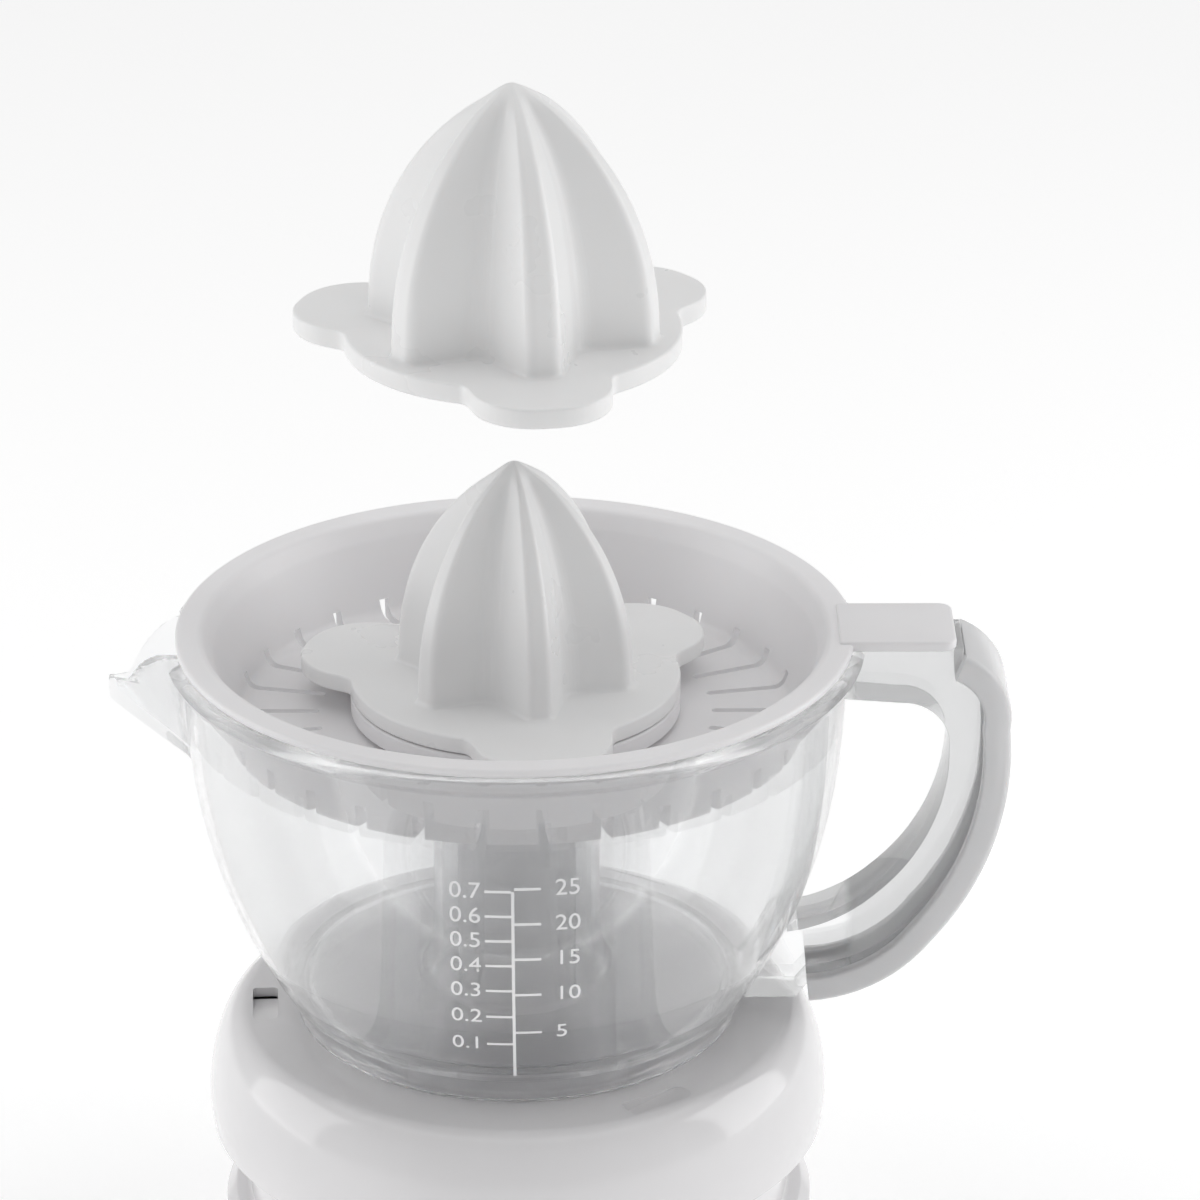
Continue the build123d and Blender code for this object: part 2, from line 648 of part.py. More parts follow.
with BuildPart() as start_switch:
    with BuildSketch(Plane.XY.offset(switch_z)):
        Rectangle(*SWITCH_SIZE)
    extrude(amount=SWITCH_H)
    with BuildSketch(Plane.XY.offset(switch_top)):
        Rectangle(BUTTON_SIZE[0] + 2 * BUTTON_GAP, BUTTON_SIZE[1] + 2 * BUTTON_GAP)
    extrude(amount=-BUTTON_SINK - 2 * PRESS_TRAVEL, mode=Mode.SUBTRACT)
    with BuildSketch(Plane.XY.offset(switch_z)):
        with GridLocations(0, SWITCH_SIZE[1] + EAR_SIZE[1], 1, 2):
            Rectangle(EAR_SIZE[0], EAR_SIZE[1])
    extrude(amount=EAR_SIZE[2])
save(start_switch.part, "start_switch")

CAPACITOR_C = (32.0, 12.0)
CAPACITOR_SIZE = (11.0, 24.0, 1.5)
CAPACITOR_H = 17.0
with BuildPart() as run_capacitor:
    with BuildSketch(Plane.XY.offset(tray_z + FLOOR_T)):
        with Locations(CAPACITOR_C):
            RectangleRounded(*CAPACITOR_SIZE)
    extrude(amount=CAPACITOR_H)
save(run_capacitor.part, "run_capacitor")

# ================================================================ jug
handle_bottom_z = jug_floor_z - 3.0
wall_fractions = (0.0, 0.06, 0.15, 0.3, 0.5, 0.75, 1.0)
wall_z = [jug_floor_z + f * (rim_z - RIM_BAND_H - jug_floor_z) for f in wall_fractions]
outer_wall = [(jug_radius(z), z) for z in wall_z]
inner_floor_z = jug_floor_z + JUG_FLOOR_T
inner_z = [inner_floor_z + f * (rim_z - RIM_BAND_H - inner_floor_z) for f in wall_fractions]
inner_wall = [(jug_radius(z) - JUG_WALL, z) for z in inner_z]
foot_in_r = JUG_FOOT_R - JUG_WALL


def handle_area():
    """Everything inside the handle's outer line, as a face in the XZ plane."""
    x = HANDLE_REACH
    top = rim_z
    low = handle_bottom_z
    with BuildSketch(Plane.XZ) as area:
        with BuildLine():
            Polyline((50.0, low), (50.0, top), (x - 14.0, top))
            ThreePointArc((x - 14.0, top), (x - 4.0, top - 5.8), (x, top - 20.0))
            ThreePointArc((x, top - 20.0), (x - 3.4, top - 50.5), (x - 17.2, low + 16.0))
            ThreePointArc((x - 17.2, low + 16.0), (x - 31.0, low + 4.2), (x - 49.0, low))
            Line((x - 49.0, low), (50.0, low))
        make_face()
    return area.sketch.face()


def finger_area():
    """The opening between the handle and the jug's wall."""
    x = HANDLE_REACH - HANDLE_T
    top = rim_z - HANDLE_TOP_T
    low = handle_bottom_z + HANDLE_LOW_T
    with BuildSketch(Plane.XZ) as area:
        with BuildLine():
            Polyline((40.0, low), (40.0, top), (x - 11.0, top))
            ThreePointArc((x - 11.0, top), (x - 3.2, top - 3.2), (x, top - 11.0))
            ThreePointArc((x, top - 11.0), (x - 3.6, top - 31.5), (x - 16.5, low + 10.5))
            ThreePointArc((x - 16.5, low + 10.5), (x - 28.0, low + 3.0), (x - 41.0, low))
            Line((x - 41.0, low), (40.0, low))
        make_face()
    return area.sketch.face()


handle_face = handle_area()
cheek_face = offset(handle_face, amount=-STRAP_CHEEK).face()
seat_face = offset(handle_face, amount=-STRAP_T).face()
web_face = offset(handle_face, amount=-STRAP_T - FIT_GAP).face()
finger_face = finger_area()
strap_start_x = JUG_RIM_R + TAB_LEN + TAB_TO_STRAP
strap_end_x = JUG_FLOOR_R + STRAP_STOP
# pale strap: a channel whose cheeks hold the web from both sides
with BuildPart() as handle_strap:
    extrude(handle_face, amount=STRAP_W / 2, both=True)
    extrude(cheek_face, amount=STRAP_W, both=True, mode=Mode.SUBTRACT)
    extrude(seat_face, amount=HANDLE_WEB_W / 2 + FIT_GAP, both=True, mode=Mode.SUBTRACT)
    with Locations((strap_start_x, 0, rim_z)):
        Box(HANDLE_REACH, 2 * STRAP_W, 2 * STRAP_START_H, align=(Align.MAX, Align.CENTER, Align.CENTER),
            mode=Mode.SUBTRACT)
    with Locations((strap_end_x, 0, rim_z)):
        Box(HANDLE_REACH, 2 * STRAP_W, 2 * JUG_H + HANDLE_REACH, align=(Align.MAX, Align.CENTER, Align.CENTER),
            mode=Mode.SUBTRACT)
save(handle_strap.part, "handle_strap")

# the handle's web under the strap, and its full height where the strap has ended
with BuildPart() as handle_web:
    extrude(web_face, amount=HANDLE_WEB_W / 2, both=True)
    extrude(finger_face, amount=STRAP_W, both=True, mode=Mode.SUBTRACT)
with BuildPart() as handle_bridge:
    extrude(handle_face, amount=HANDLE_WEB_W / 2, both=True)
    extrude(finger_face, amount=STRAP_W, both=True, mode=Mode.SUBTRACT)
    with Locations((strap_start_x - FIT_GAP, 0, rim_z)):
        Box(HANDLE_REACH, 2 * STRAP_W, 2 * STRAP_START_H, align=(Align.MIN, Align.CENTER, Align.CENTER),
            mode=Mode.SUBTRACT)
    with Locations((strap_end_x - FIT_GAP, 0, handle_bottom_z)):
        Box(HANDLE_REACH, 2 * STRAP_W, 2 * (rim_z - STRAP_START_H - handle_bottom_z),
            align=(Align.MIN, Align.CENTER, Align.CENTER), mode=Mode.SUBTRACT)


spout_root_x = JUG_RIM_R - 6.0
lip_xs = [JUG_RIM_R + f * (SPOUT_REACH - JUG_RIM_R) for f in (0.0, 0.25, 0.5, 0.75, 1.0)]
lip_line = [(-x, rim_z - SPOUT_DROP * ((x - JUG_RIM_R) / (SPOUT_REACH - JUG_RIM_R)) ** 2) for x in lip_xs]


def spout_solid(inset, rise):
    """Tapering V-shaped spout with a level top, its section shrunk by an inset and lifted by a rise."""
    keel_lift = 1.6 * inset
    root = [(-SPOUT_HALF_W + inset, rim_z + rise), (SPOUT_HALF_W - inset, rim_z + rise),
            (0, rim_z - SPOUT_ROOT_DROP + keel_lift)]
    tip_w = SPOUT_TIP_HALF - inset / 2
    tip = [(-tip_w, rim_z + rise), (tip_w, rim_z + rise), (0, rim_z - SPOUT_DROP - SPOUT_TIP_H + keel_lift)]
    with BuildPart() as spout:
        for x, corners in ((spout_root_x, root), (SPOUT_REACH - inset, tip)):
            with BuildSketch(Plane(origin=(-x, 0, 0), x_dir=(0, -1, 0), z_dir=(-1, 0, 0))):
                Polygon(*corners, align=None)
        loft(ruled=True)
    return spout.part


# what lies above the lip's falling edge
with BuildPart() as above_lip:
    with BuildSketch(Plane.XZ):
        with BuildLine():
            Spline(*lip_line)
            Polyline(lip_line[-1], (-SPOUT_REACH - 1.0, lip_line[-1][1]), (-SPOUT_REACH - 1.0, rim_z + 3.0),
                     (-JUG_RIM_R, rim_z + 3.0), lip_line[0])
        make_face()
    extrude(amount=SPOUT_HALF_W, both=True)
spout_outside = spout_solid(0, 0)
spout_inside = spout_solid(SPOUT_WALL, 1.0)
with BuildPart() as jug_outside:
    with BuildSketch(Plane.XZ):
        with BuildLine():
            Polyline((0, jug_z), (JUG_FOOT_R, jug_z), (JUG_FOOT_R, jug_floor_z - 2.0), outer_wall[0])
            Spline(*outer_wall)
            Polyline(outer_wall[-1], (RIM_BAND_R - 0.4, rim_z - RIM_BAND_H + 2.0), (RIM_BAND_R, rim_z - 2.2),
                     (RIM_BAND_R - 2.2, rim_z), (0, rim_z), (0, jug_z))
        make_face()
    revolve(axis=Axis.Z)

with BuildPart() as jug:
    add(jug_outside.part)
    add(handle_web.part)
    add(handle_bridge.part)
    add(spout_outside)
    add(above_lip.part, mode=Mode.SUBTRACT)
    # inside of the bowl, around the centre tube
    with BuildSketch(Plane.XZ):
        with BuildLine():
            Polyline((TUBE_R, rim_z + 1.0), (TUBE_R, inner_floor_z + TUBE_FOOT_H))
            ThreePointArc((TUBE_R, inner_floor_z + TUBE_FOOT_H), (TUBE_R + 1.3, inner_floor_z + 5.0),
                          (TUBE_FOOT_R, inner_floor_z))
            Line((TUBE_FOOT_R, inner_floor_z), inner_wall[0])
            Spline(*inner_wall)
            Polyline(inner_wall[-1], (inner_wall[-1][0], rim_z + 1.0), (TUBE_R, rim_z + 1.0))
        make_face()
    revolve(axis=Axis.Z, mode=Mode.SUBTRACT)
    add(spout_inside, mode=Mode.SUBTRACT)
    with BuildSketch(Plane.XY.offset(tube_top)):
        Circle(TUBE_R + 1.0)
    extrude(amount=JUG_H, mode=Mode.SUBTRACT)
    # under the floor, and up inside the centre tube
    with BuildSketch(Plane.XZ):
        with BuildLine():
            Polyline((0, jug_z - 1.0), (foot_in_r, jug_z - 1.0), (foot_in_r, jug_floor_z),
                     (TUBE_FOOT_R - TUBE_WALL, jug_floor_z))
            ThreePointArc((TUBE_FOOT_R - TUBE_WALL, jug_floor_z), (TUBE_R - TUBE_WALL + 1.3, jug_floor_z + 5.0),
                          (TUBE_R - TUBE_WALL, jug_floor_z + TUBE_FOOT_H))
            Polyline((TUBE_R - TUBE_WALL, jug_floor_z + TUBE_FOOT_H), (TUBE_R - TUBE_WALL, tube_top + 1.0),
                     (0, tube_top + 1.0), (0, jug_z - 1.0))
        make_face()
    revolve(axis=Axis.Z, mode=Mode.SUBTRACT)
save(jug.part, "jug")

# ================================================================ strainer
flange_r = RIM_BAND_R - FLANGE_IN
dish_top_r = JUG_RIM_R - JUG_WALL - 1.3
lip_r = dish_top_r - 3.4
with BuildPart() as strainer:
    with BuildSketch(Plane.XZ):
        with BuildLine():
            Polyline((HUB_HOLE_R, hub_top), (HUB_R, hub_top), (HUB_R, strainer_floor_top),
                     (STRAINER_R - 5.0, strainer_floor_top))
            ThreePointArc((STRAINER_R - 5.0, strainer_floor_top), (STRAINER_R - 3.0, strainer_floor_top + 1.0),
                          (STRAINER_R - 1.6, strainer_floor_top + 4.0))
            Line((STRAINER_R - 1.6, strainer_floor_top + 4.0), (lip_r, flange_z - 3.0))
            ThreePointArc((lip_r, flange_z - 3.0), (lip_r + 0.9, flange_z + FLANGE_T - 1.6),
                          (lip_r + 3.4, flange_z + FLANGE_T))
            Polyline((lip_r + 3.4, flange_z + FLANGE_T), (flange_r, flange_z + FLANGE_T), (flange_r, flange_z),
                     (dish_top_r, flange_z), (dish_top_r, flange_z - 2.0), (STRAINER_R, strainer_z),
                     (HUB_R - STRAINER_WALL, strainer_z), (HUB_R - STRAINER_WALL, hub_top - STRAINER_WALL),
                     (HUB_HOLE_R, hub_top - STRAINER_WALL), (HUB_HOLE_R, hub_top))
        make_face()
    revolve(axis=Axis.Z)
    # lifting tab that lies on the jug's handle
    with BuildSketch(Plane.XY.offset(flange_z)):
        with Locations(((flange_r + JUG_RIM_R + TAB_LEN) / 2 - 2.0, 0)):
            RectangleRounded(JUG_RIM_R + TAB_LEN - flange_r + 4.0, TAB_W, 3.0)
    extrude(amount=TAB_T)
    # radial slots through the floor and the foot of the wall
    with BuildSketch(Plane.XY.offset(strainer_z)):
        with PolarLocations((SLOT_IN_R + STRAINER_R) / 2 + 2.0, SLOT_COUNT):
            Rectangle(STRAINER_R - SLOT_IN_R + 4.0, SLOT_W)
    extrude(amount=STRAINER_WALL + SLOT_RISE, mode=Mode.SUBTRACT)
save(strainer.part, "strainer")

# ================================================================ cones
collar_in_r = HUB_R + SEAT_GAP
collar_out_r = CONE_DISC_R
with BuildPart() as cone_collar:
    with BuildSketch(Plane.XY.offset(collar_z)):
        Circle(collar_out_r)
        Circle(HUB_HOLE_R, mode=Mode.SUBTRACT)
    extrude(amount=COLLAR_T)
    with BuildSketch(Plane.XY.offset(collar_z)):
        Circle(collar_out_r)
        Circle(collar_in_r, mode=Mode.SUBTRACT)
    extrude(amount=-COLLAR_LEG)
save(cone_collar.part, "cone_collar")


def cone_loft(tip_r, tip_w, height, z, corner, valley, levels):
    """Finned dome: the same rounded star, shrinking along the ridge line."""
    with BuildPart() as dome:
        for level in levels:
            scale = (1 - level ** RIDGE_POWER) ** RIDGE_ROUND
            with BuildSketch(Plane.XY.offset(z + level * height)) as section:
                points = [(scale * px, scale * py) for px, py in fin_points(tip_r, tip_w)]
                Polygon(*points, align=None)
                far = section.vertices().filter_by(lambda v: sqrt(v.X ** 2 + v.Y ** 2) > 0.7 * scale * tip_r)
                fillet(far, radius=scale * corner)
                near = section.vertices().filter_by(lambda v: sqrt(v.X ** 2 + v.Y ** 2) < 0.6 * scale * tip_r)
                fillet(near, radius=scale * valley)
        loft()
    return dome.part


def cone_flange(z, thickness):
    """Round disc with three lobes."""
    with BuildPart() as flange:
        with BuildSketch(Plane.XY.offset(z)) as outline:
            Circle(CONE_DISC_R)
            with PolarLocations(LOBE_TIP_R / 2, LOBE_COUNT, start_angle=LOBE_START):
                Rectangle(LOBE_TIP_R, LOBE_W)
            corners = outline.vertices()
            tips = corners.filter_by(lambda v: sqrt(v.X ** 2 + v.Y ** 2) > LOBE_TIP_R)
            fillet(tips, radius=LOBE_W / 2 - 2.0)
            roots = outline.vertices().filter_by(lambda v: abs(sqrt(v.X ** 2 + v.Y ** 2) - CONE_DISC_R) < 0.01)
            fillet(roots, radius=5.0)
        extrude(amount=thickness)
    return flange.part


DOME_LEVELS = (0.0, 0.2, 0.4, 0.57, 0.72, 0.84, 0.93, 0.98, 0.995)
HOLLOW_LEVELS = (0.0, 0.2, 0.4, 0.57, 0.72, 0.84, 0.925)
DOME_SINK = 0.01        # domes start this far inside their discs
HOLLOW_SINK = 0.5       # the large cone's hollow starts this far below its disc
core_h = 0.62 * SMALL_H
small_flange = cone_flange(small_z, SMALL_FLANGE_T)
small_dome = cone_loft(SMALL_TIP_R, SMALL_TIP_W, SMALL_H, small_top - DOME_SINK, TIP_ROUND * SMALL_TIP_W,
                       VALLEY_ROUND, DOME_LEVELS)
with BuildPart() as small_cone:
    add(small_flange)
    add(small_dome)
    # hollow underside around the drive socket
    with BuildSketch(Plane.XY.offset(small_z)):
        Circle(CORE_R)
        Circle(SOCKET_R, mode=Mode.SUBTRACT)
    extrude(amount=core_h, taper=CORE_TAPER, mode=Mode.SUBTRACT)
    with BuildSketch(Plane.XY.offset(small_z)):
        RegularPolygon(SPINDLE_HEX / 2 + FIT_GAP, 6, major_radius=False)
    extrude(amount=spindle_top - small_z + PRESS_TRAVEL, mode=Mode.SUBTRACT)
save(small_cone.part, "small_cone")

inner_tip_w = LARGE_TIP_W - FIN_WALL
large_flange = cone_flange(large_z, LARGE_FLANGE_T)
large_dome = cone_loft(LARGE_TIP_R, LARGE_TIP_W, LARGE_H, large_top - DOME_SINK, TIP_ROUND * LARGE_TIP_W,
                       VALLEY_ROUND, DOME_LEVELS)
large_hollow = cone_loft(LARGE_TIP_R - CONE_WALL, inner_tip_w, LARGE_H, large_z - HOLLOW_SINK, inner_tip_w / 2,
                         VALLEY_ROUND - 1.0, HOLLOW_LEVELS)
with BuildPart() as large_cone:
    add(large_flange)
    add(large_dome)
    add(large_hollow, mode=Mode.SUBTRACT)
save(large_cone.part, "large_cone")
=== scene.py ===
"""Electric citrus press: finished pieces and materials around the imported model."""
import math

import bmesh
import bpy
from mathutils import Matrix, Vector


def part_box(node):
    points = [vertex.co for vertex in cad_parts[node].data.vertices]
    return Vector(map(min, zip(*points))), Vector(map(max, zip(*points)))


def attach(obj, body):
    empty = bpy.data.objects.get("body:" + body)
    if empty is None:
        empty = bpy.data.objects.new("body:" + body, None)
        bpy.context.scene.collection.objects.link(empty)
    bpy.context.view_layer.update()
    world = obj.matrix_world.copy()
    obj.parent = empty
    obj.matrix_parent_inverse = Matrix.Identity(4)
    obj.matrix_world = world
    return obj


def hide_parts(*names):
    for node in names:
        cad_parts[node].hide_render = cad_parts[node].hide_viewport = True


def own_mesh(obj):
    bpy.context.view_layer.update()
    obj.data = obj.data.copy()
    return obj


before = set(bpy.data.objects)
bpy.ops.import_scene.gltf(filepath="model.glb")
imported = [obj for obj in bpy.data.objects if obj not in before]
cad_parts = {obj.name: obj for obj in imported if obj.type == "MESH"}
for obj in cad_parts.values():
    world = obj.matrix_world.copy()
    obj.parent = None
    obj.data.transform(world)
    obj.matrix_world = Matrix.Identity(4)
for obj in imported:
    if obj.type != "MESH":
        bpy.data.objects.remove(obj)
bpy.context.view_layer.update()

# ---------------------------------------------------------------- levels and sizes, millimetres
MM = 0.001


def box_mm(node):
    """Lowest and highest corner of a node in millimetres."""
    low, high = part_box(node)
    return [v / MM for v in low], [v / MM for v in high]


(_, _, jug_z), (_, _, rim_z) = box_mm("jug")
(spout_x, _, _), _ = box_mm("jug")
(_, _, housing_z), (housing_r, _, tower_top) = box_mm("upper_housing")
(_, _, tray_z), (tray_r, _, _) = box_mm("lower_housing")
(_, _, strainer_z), (tab_x, _, _) = box_mm("strainer")
(_, _, collar_low), (disc_r, _, collar_top) = box_mm("cone_collar")
(_, _, small_z), (_, _, small_apex) = box_mm("small_cone")
(_, _, large_z), (_, _, large_apex) = box_mm("large_cone")
_, (strap_x, _, _) = box_mm("handle_strap")

JUG_FOOT_R = 52.6
JUG_FOOT_H = 7.2
JUG_FLOOR_R = 55.2
JUG_RIM_R = 77.3
JUG_WALL = 2.2
JUG_FLOOR_T = 2.5
JUG_SWELL = 2.4
RIM_BAND_R = 81.5
RIM_BAND_H = 5.5
TUBE_R = 19.7
TUBE_FOOT_R = 24.5
TUBE_FOOT_H = 15.0
TUBE_WALL = 2.0
SPOUT_HALF_W = 16.0
SPOUT_DROP = 10.5
SPOUT_ROOT_DROP = 36.0
jug_floor_z = jug_z + JUG_FOOT_H
deck_z = jug_z - 0.3

FIN_COUNT = 6
FIN_START = -77.5
FIN_TAPER = 0.45
RIDGE_POWER = 2.3
RIDGE_ROUND = 0.75
LOBE_START = -80.0
LOBE_W = 32.0


# ---------------------------------------------------------------- outlines
def polar(radius, degrees):
    """Point at a radius and an angle in degrees."""
    return radius * math.cos(math.radians(degrees)), radius * math.sin(math.radians(degrees))


def rounded(points, radii, closed=True, steps=6):
    """Replaces each corner of an outline by an arc; a radius of 0 keeps the corner."""
    result = []
    count = len(points)
    for i, (corner, radius) in enumerate(zip(points, radii)):
        if radius == 0 or (not closed and i in (0, count - 1)):
            result.append(tuple(corner))
            continue
        c = Vector(corner)
        before = Vector(points[i - 1]) - c
        after = Vector(points[(i + 1) % count]) - c
        half = before.angle(after) / 2
        reach = min(radius / math.tan(half), 0.49 * before.length, 0.49 * after.length)
        r = reach * math.tan(half)
        centre = c + (before.normalized() + after.normalized()).normalized() * (r / math.sin(half))
        start = c + before.normalized() * reach - centre
        end = c + after.normalized() * reach - centre
        turn = start.angle_signed(end)
        for k in range(steps + 1):
            a = -turn * k / steps
            result.append((centre.x + start.x * math.cos(a) - start.y * math.sin(a),
                           centre.y + start.x * math.sin(a) + start.y * math.cos(a)))
    return result


def smooth_step(low, high, value):
    """0 below low, 1 above high, smooth between."""
    t = min(max((value - low) / (high - low), 0.0), 1.0)
    return t * t * (3 - 2 * t)


def smooth_max(a, b, k):
    """The larger of two values, blended within k of each other."""
    h = max(k - abs(a - b), 0.0) / k
    return max(a, b) + h * h * k / 4


# ---------------------------------------------------------------- meshes
def finish_mesh(name, mesh, sharp=35.0):
    """Links a mesh as an object with smooth faces and sharp creases."""
    mesh.validate()
    for face in mesh.polygons:
        face.use_smooth = True
    mesh.set_sharp_from_angle(angle=math.radians(sharp))
    piece = bpy.data.objects.new(name, mesh)
    bpy.context.collection.objects.link(piece)
    return piece


def rings_piece(name, rings, loop=False, sharp=35.0):
    """Skin over rings of points in millimetres; a ring of one point is a pole."""
    mesh = bpy.data.meshes.new(name)
    verts = []
    starts = []
    for ring in rings:
        starts.append(len(verts))
        verts += [tuple(v * MM for v in p) for p in ring]
    faces = []
    pairs = list(zip(range(len(rings) - 1), range(1, len(rings))))
    if loop:
        pairs.append((len(rings) - 1, 0))
    for i, j in pairs:
        n = max(len(rings[i]), len(rings[j]))
        for k in range(n):
            m = (k + 1) % n
            a, b = starts[i] + k, starts[i] + m
            c, d = starts[j] + m, starts[j] + k
            if len(rings[i]) == 1:
                faces.append((starts[i], c, d))
            elif len(rings[j]) == 1:
                faces.append((a, b, starts[j]))
            else:
                faces.append((a, b, c, d))
    mesh.from_pydata(verts, [], faces)
    work = bmesh.new()
    work.from_mesh(mesh)
    bmesh.ops.recalc_face_normals(work, faces=work.faces)
    work.to_mesh(mesh)
    work.free()
    return finish_mesh(name, mesh, sharp)


def lathe(name, profile, loop=True, segments=180, sharp=35.0):
    """Turned piece: a profile of (radius, height) points spun about the spindle's axis."""
    rings = []
    for r, z in profile:
        if r < 1e-6:
            rings.append([(0.0, 0.0, z)])
        else:
            rings.append([(*polar(r, 360.0 * k / segments), z) for k in range(segments)])
    return rings_piece(name, rings, loop=loop, sharp=sharp)


def apply_modifiers(piece):
    """Turns a piece with live modifiers into a plain mesh."""
    depsgraph = bpy.context.evaluated_depsgraph_get()
    mesh = bpy.data.meshes.new_from_object(piece.evaluated_get(depsgraph))
    piece.modifiers.clear()
    piece.data = mesh
    return piece


def boolean(piece, other, operation, sharp=35.0):
    """Joins or cuts a piece with another, which is used up."""
    cut = piece.modifiers.new("cut", "BOOLEAN")
    cut.operation = operation
    cut.solver = "EXACT"
    cut.object = other
    apply_modifiers(piece)
    bpy.data.objects.remove(other)
    for face in piece.data.polygons:
        face.use_smooth = True
    piece.data.set_sharp_from_angle(angle=math.radians(sharp))
    return piece


def bevelled(piece, width, segments=3, angle=30.0):
    """Rounds the sharp edges of a piece."""
    bevel = piece.modifiers.new("round", "BEVEL")
    bevel.width = width * MM
    bevel.segments = segments
    bevel.limit_method = "ANGLE"
    bevel.angle_limit = math.radians(angle)
    bevel.harden_normals = False
    return apply_modifiers(piece)


def slab(name, outline, low, high, sharp=35.0):
    """Flat piece: an outline in the XY plane between two heights."""
    cx = (min(p[0] for p in outline) + max(p[0] for p in outline)) / 2
    cy = (min(p[1] for p in outline) + max(p[1] for p in outline)) / 2
    rings = [[(cx, cy, low)]]
    rings += [[(x, y, z) for x, y in outline] for z in (low, high)]
    rings.append([(cx, cy, high)])
    return rings_piece(name, rings, sharp=sharp)


# ---------------------------------------------------------------- materials
def new_material(name):
    """Empty node material with its shader and output."""
    material = bpy.data.materials.new(name)
    material.use_nodes = True
    tree = material.node_tree
    shader = tree.nodes["Principled BSDF"]
    place = tree.nodes.new("ShaderNodeTexCoord")
    return material, tree, shader, place


def add_noise(tree, place, scale, detail=3.0):
    """Noise on Object coordinates."""
    noise = tree.nodes.new("ShaderNodeTexNoise")
    noise.inputs["Scale"].default_value = scale
    noise.inputs["Detail"].default_value = detail
    tree.links.new(place.outputs["Object"], noise.inputs["Vector"])
    return noise


def spread(tree, source, low, high):
    """Maps a noise factor to a range."""
    span = tree.nodes.new("ShaderNodeMapRange")
    span.inputs["From Min"].default_value = 0.3
    span.inputs["From Max"].default_value = 0.7
    span.inputs["To Min"].default_value = low
    span.inputs["To Max"].default_value = high
    tree.links.new(source, span.inputs["Value"])
    return span.outputs["Result"]


def add_bump(tree, shader, height, strength, distance):
    """Bump from a height value."""
    bump = tree.nodes.new("ShaderNodeBump")
    bump.inputs["Strength"].default_value = strength
    bump.inputs["Distance"].default_value = distance
    tree.links.new(height, bump.inputs["Height"])
    tree.links.new(bump.outputs["Normal"], shader.inputs["Normal"])


def moulded(name, dark, light, rough, grain=900.0, grain_depth=0.00002, coat=0.0, scatter=0.0):
    """Moulded plastic: faint colour drift, uneven gloss and a fine moulded grain."""
    material, tree, shader, place = new_material(name)
    drift = add_noise(tree, place, 18.0)
    ramp = tree.nodes.new("ShaderNodeValToRGB")
    ramp.color_ramp.elements[0].position = 0.35
    ramp.color_ramp.elements[0].color = (*dark, 1.0)
    ramp.color_ramp.elements[1].position = 0.65
    ramp.color_ramp.elements[1].color = (*light, 1.0)
    tree.links.new(drift.outputs["Fac"], ramp.inputs["Fac"])
    tree.links.new(ramp.outputs["Color"], shader.inputs["Base Color"])
    gloss = add_noise(tree, place, 60.0)
    tree.links.new(spread(tree, gloss.outputs["Fac"], rough[0], rough[1]), shader.inputs["Roughness"])
    fine = add_noise(tree, place, grain, 2.0)
    add_bump(tree, shader, fine.outputs["Fac"], 0.25, grain_depth)
    shader.inputs["IOR"].default_value = 1.5
    shader.inputs["Coat Weight"].default_value = coat
    shader.inputs["Coat Roughness"].default_value = 0.08
    shader.inputs["Subsurface Weight"].default_value = scatter
    shader.inputs["Subsurface Radius"].default_value = (1.0, 0.9, 0.85)
    shader.inputs["Subsurface Scale"].default_value = 0.003
    return material


def clear_plastic():
    """Polished clear styrene with a faint flow pattern."""
    material, tree, shader, place = new_material("jug_clear")
    shader.inputs["Base Color"].default_value = (0.945, 0.95, 0.955, 1.0)
    shader.inputs["IOR"].default_value = 1.5
    shader.inputs["Transmission Weight"].default_value = 1.0
    axes = tree.nodes.new("ShaderNodeSeparateXYZ")
    tree.links.new(place.outputs["Object"], axes.inputs["Vector"])
    solid = tree.nodes.new("ShaderNodeMapRange")
    solid.inputs["From Min"].default_value = 0.078
    solid.inputs["From Max"].default_value = 0.080
    solid.inputs["To Min"].default_value = 0.72
    solid.inputs["To Max"].default_value = 0.92
    tree.links.new(axes.outputs["X"], solid.inputs["Value"])
    tree.links.new(solid.outputs["Result"], shader.inputs["Alpha"])
    haze = tree.nodes.new("ShaderNodeMapRange")
    haze.inputs["From Min"].default_value = 0.078
    haze.inputs["From Max"].default_value = 0.080
    haze.inputs["To Min"].default_value = 1.0
    haze.inputs["To Max"].default_value = 0.72
    tree.links.new(axes.outputs["X"], haze.inputs["Value"])
    tree.links.new(haze.outputs["Result"], shader.inputs["Transmission Weight"])
    gloss = add_noise(tree, place, 25.0)
    tree.links.new(spread(tree, gloss.outputs["Fac"], 0.0, 0.03), shader.inputs["Roughness"])
    flow = add_noise(tree, place, 35.0, 1.0)
    add_bump(tree, shader, flow.outputs["Fac"], 0.15, 0.0002)
    return material


def pale_strap_plastic():
    """Milky translucent strap plastic."""
    material = moulded("strap_pale", (0.80, 0.80, 0.81), (0.86, 0.86, 0.87), (0.18, 0.26),
                       scatter=0.25, coat=0.2)
    material.node_tree.nodes["Principled BSDF"].inputs["Transmission Weight"].default_value = 0.25
    return material


def metal(name, colour, rough, brush=(1.0, 1.0, 14.0)):
    """Metal with stretched brushing marks."""
    material, tree, shader, place = new_material(name)
    mapping = tree.nodes.new("ShaderNodeMapping")
    mapping.inputs["Scale"].default_value = brush
    tree.links.new(place.outputs["Object"], mapping.inputs["Vector"])
    noise = add_noise(tree, place, 160.0)
    tree.links.new(mapping.outputs["Vector"], noise.inputs["Vector"])
    shader.inputs["Base Color"].default_value = (*colour, 1.0)
    shader.inputs["Metallic"].default_value = 1.0
    tree.links.new(spread(tree, noise.outputs["Fac"], rough[0], rough[1]), shader.inputs["Roughness"])
    add_bump(tree, shader, noise.outputs["Fac"], 0.2, 0.00003)
    return material


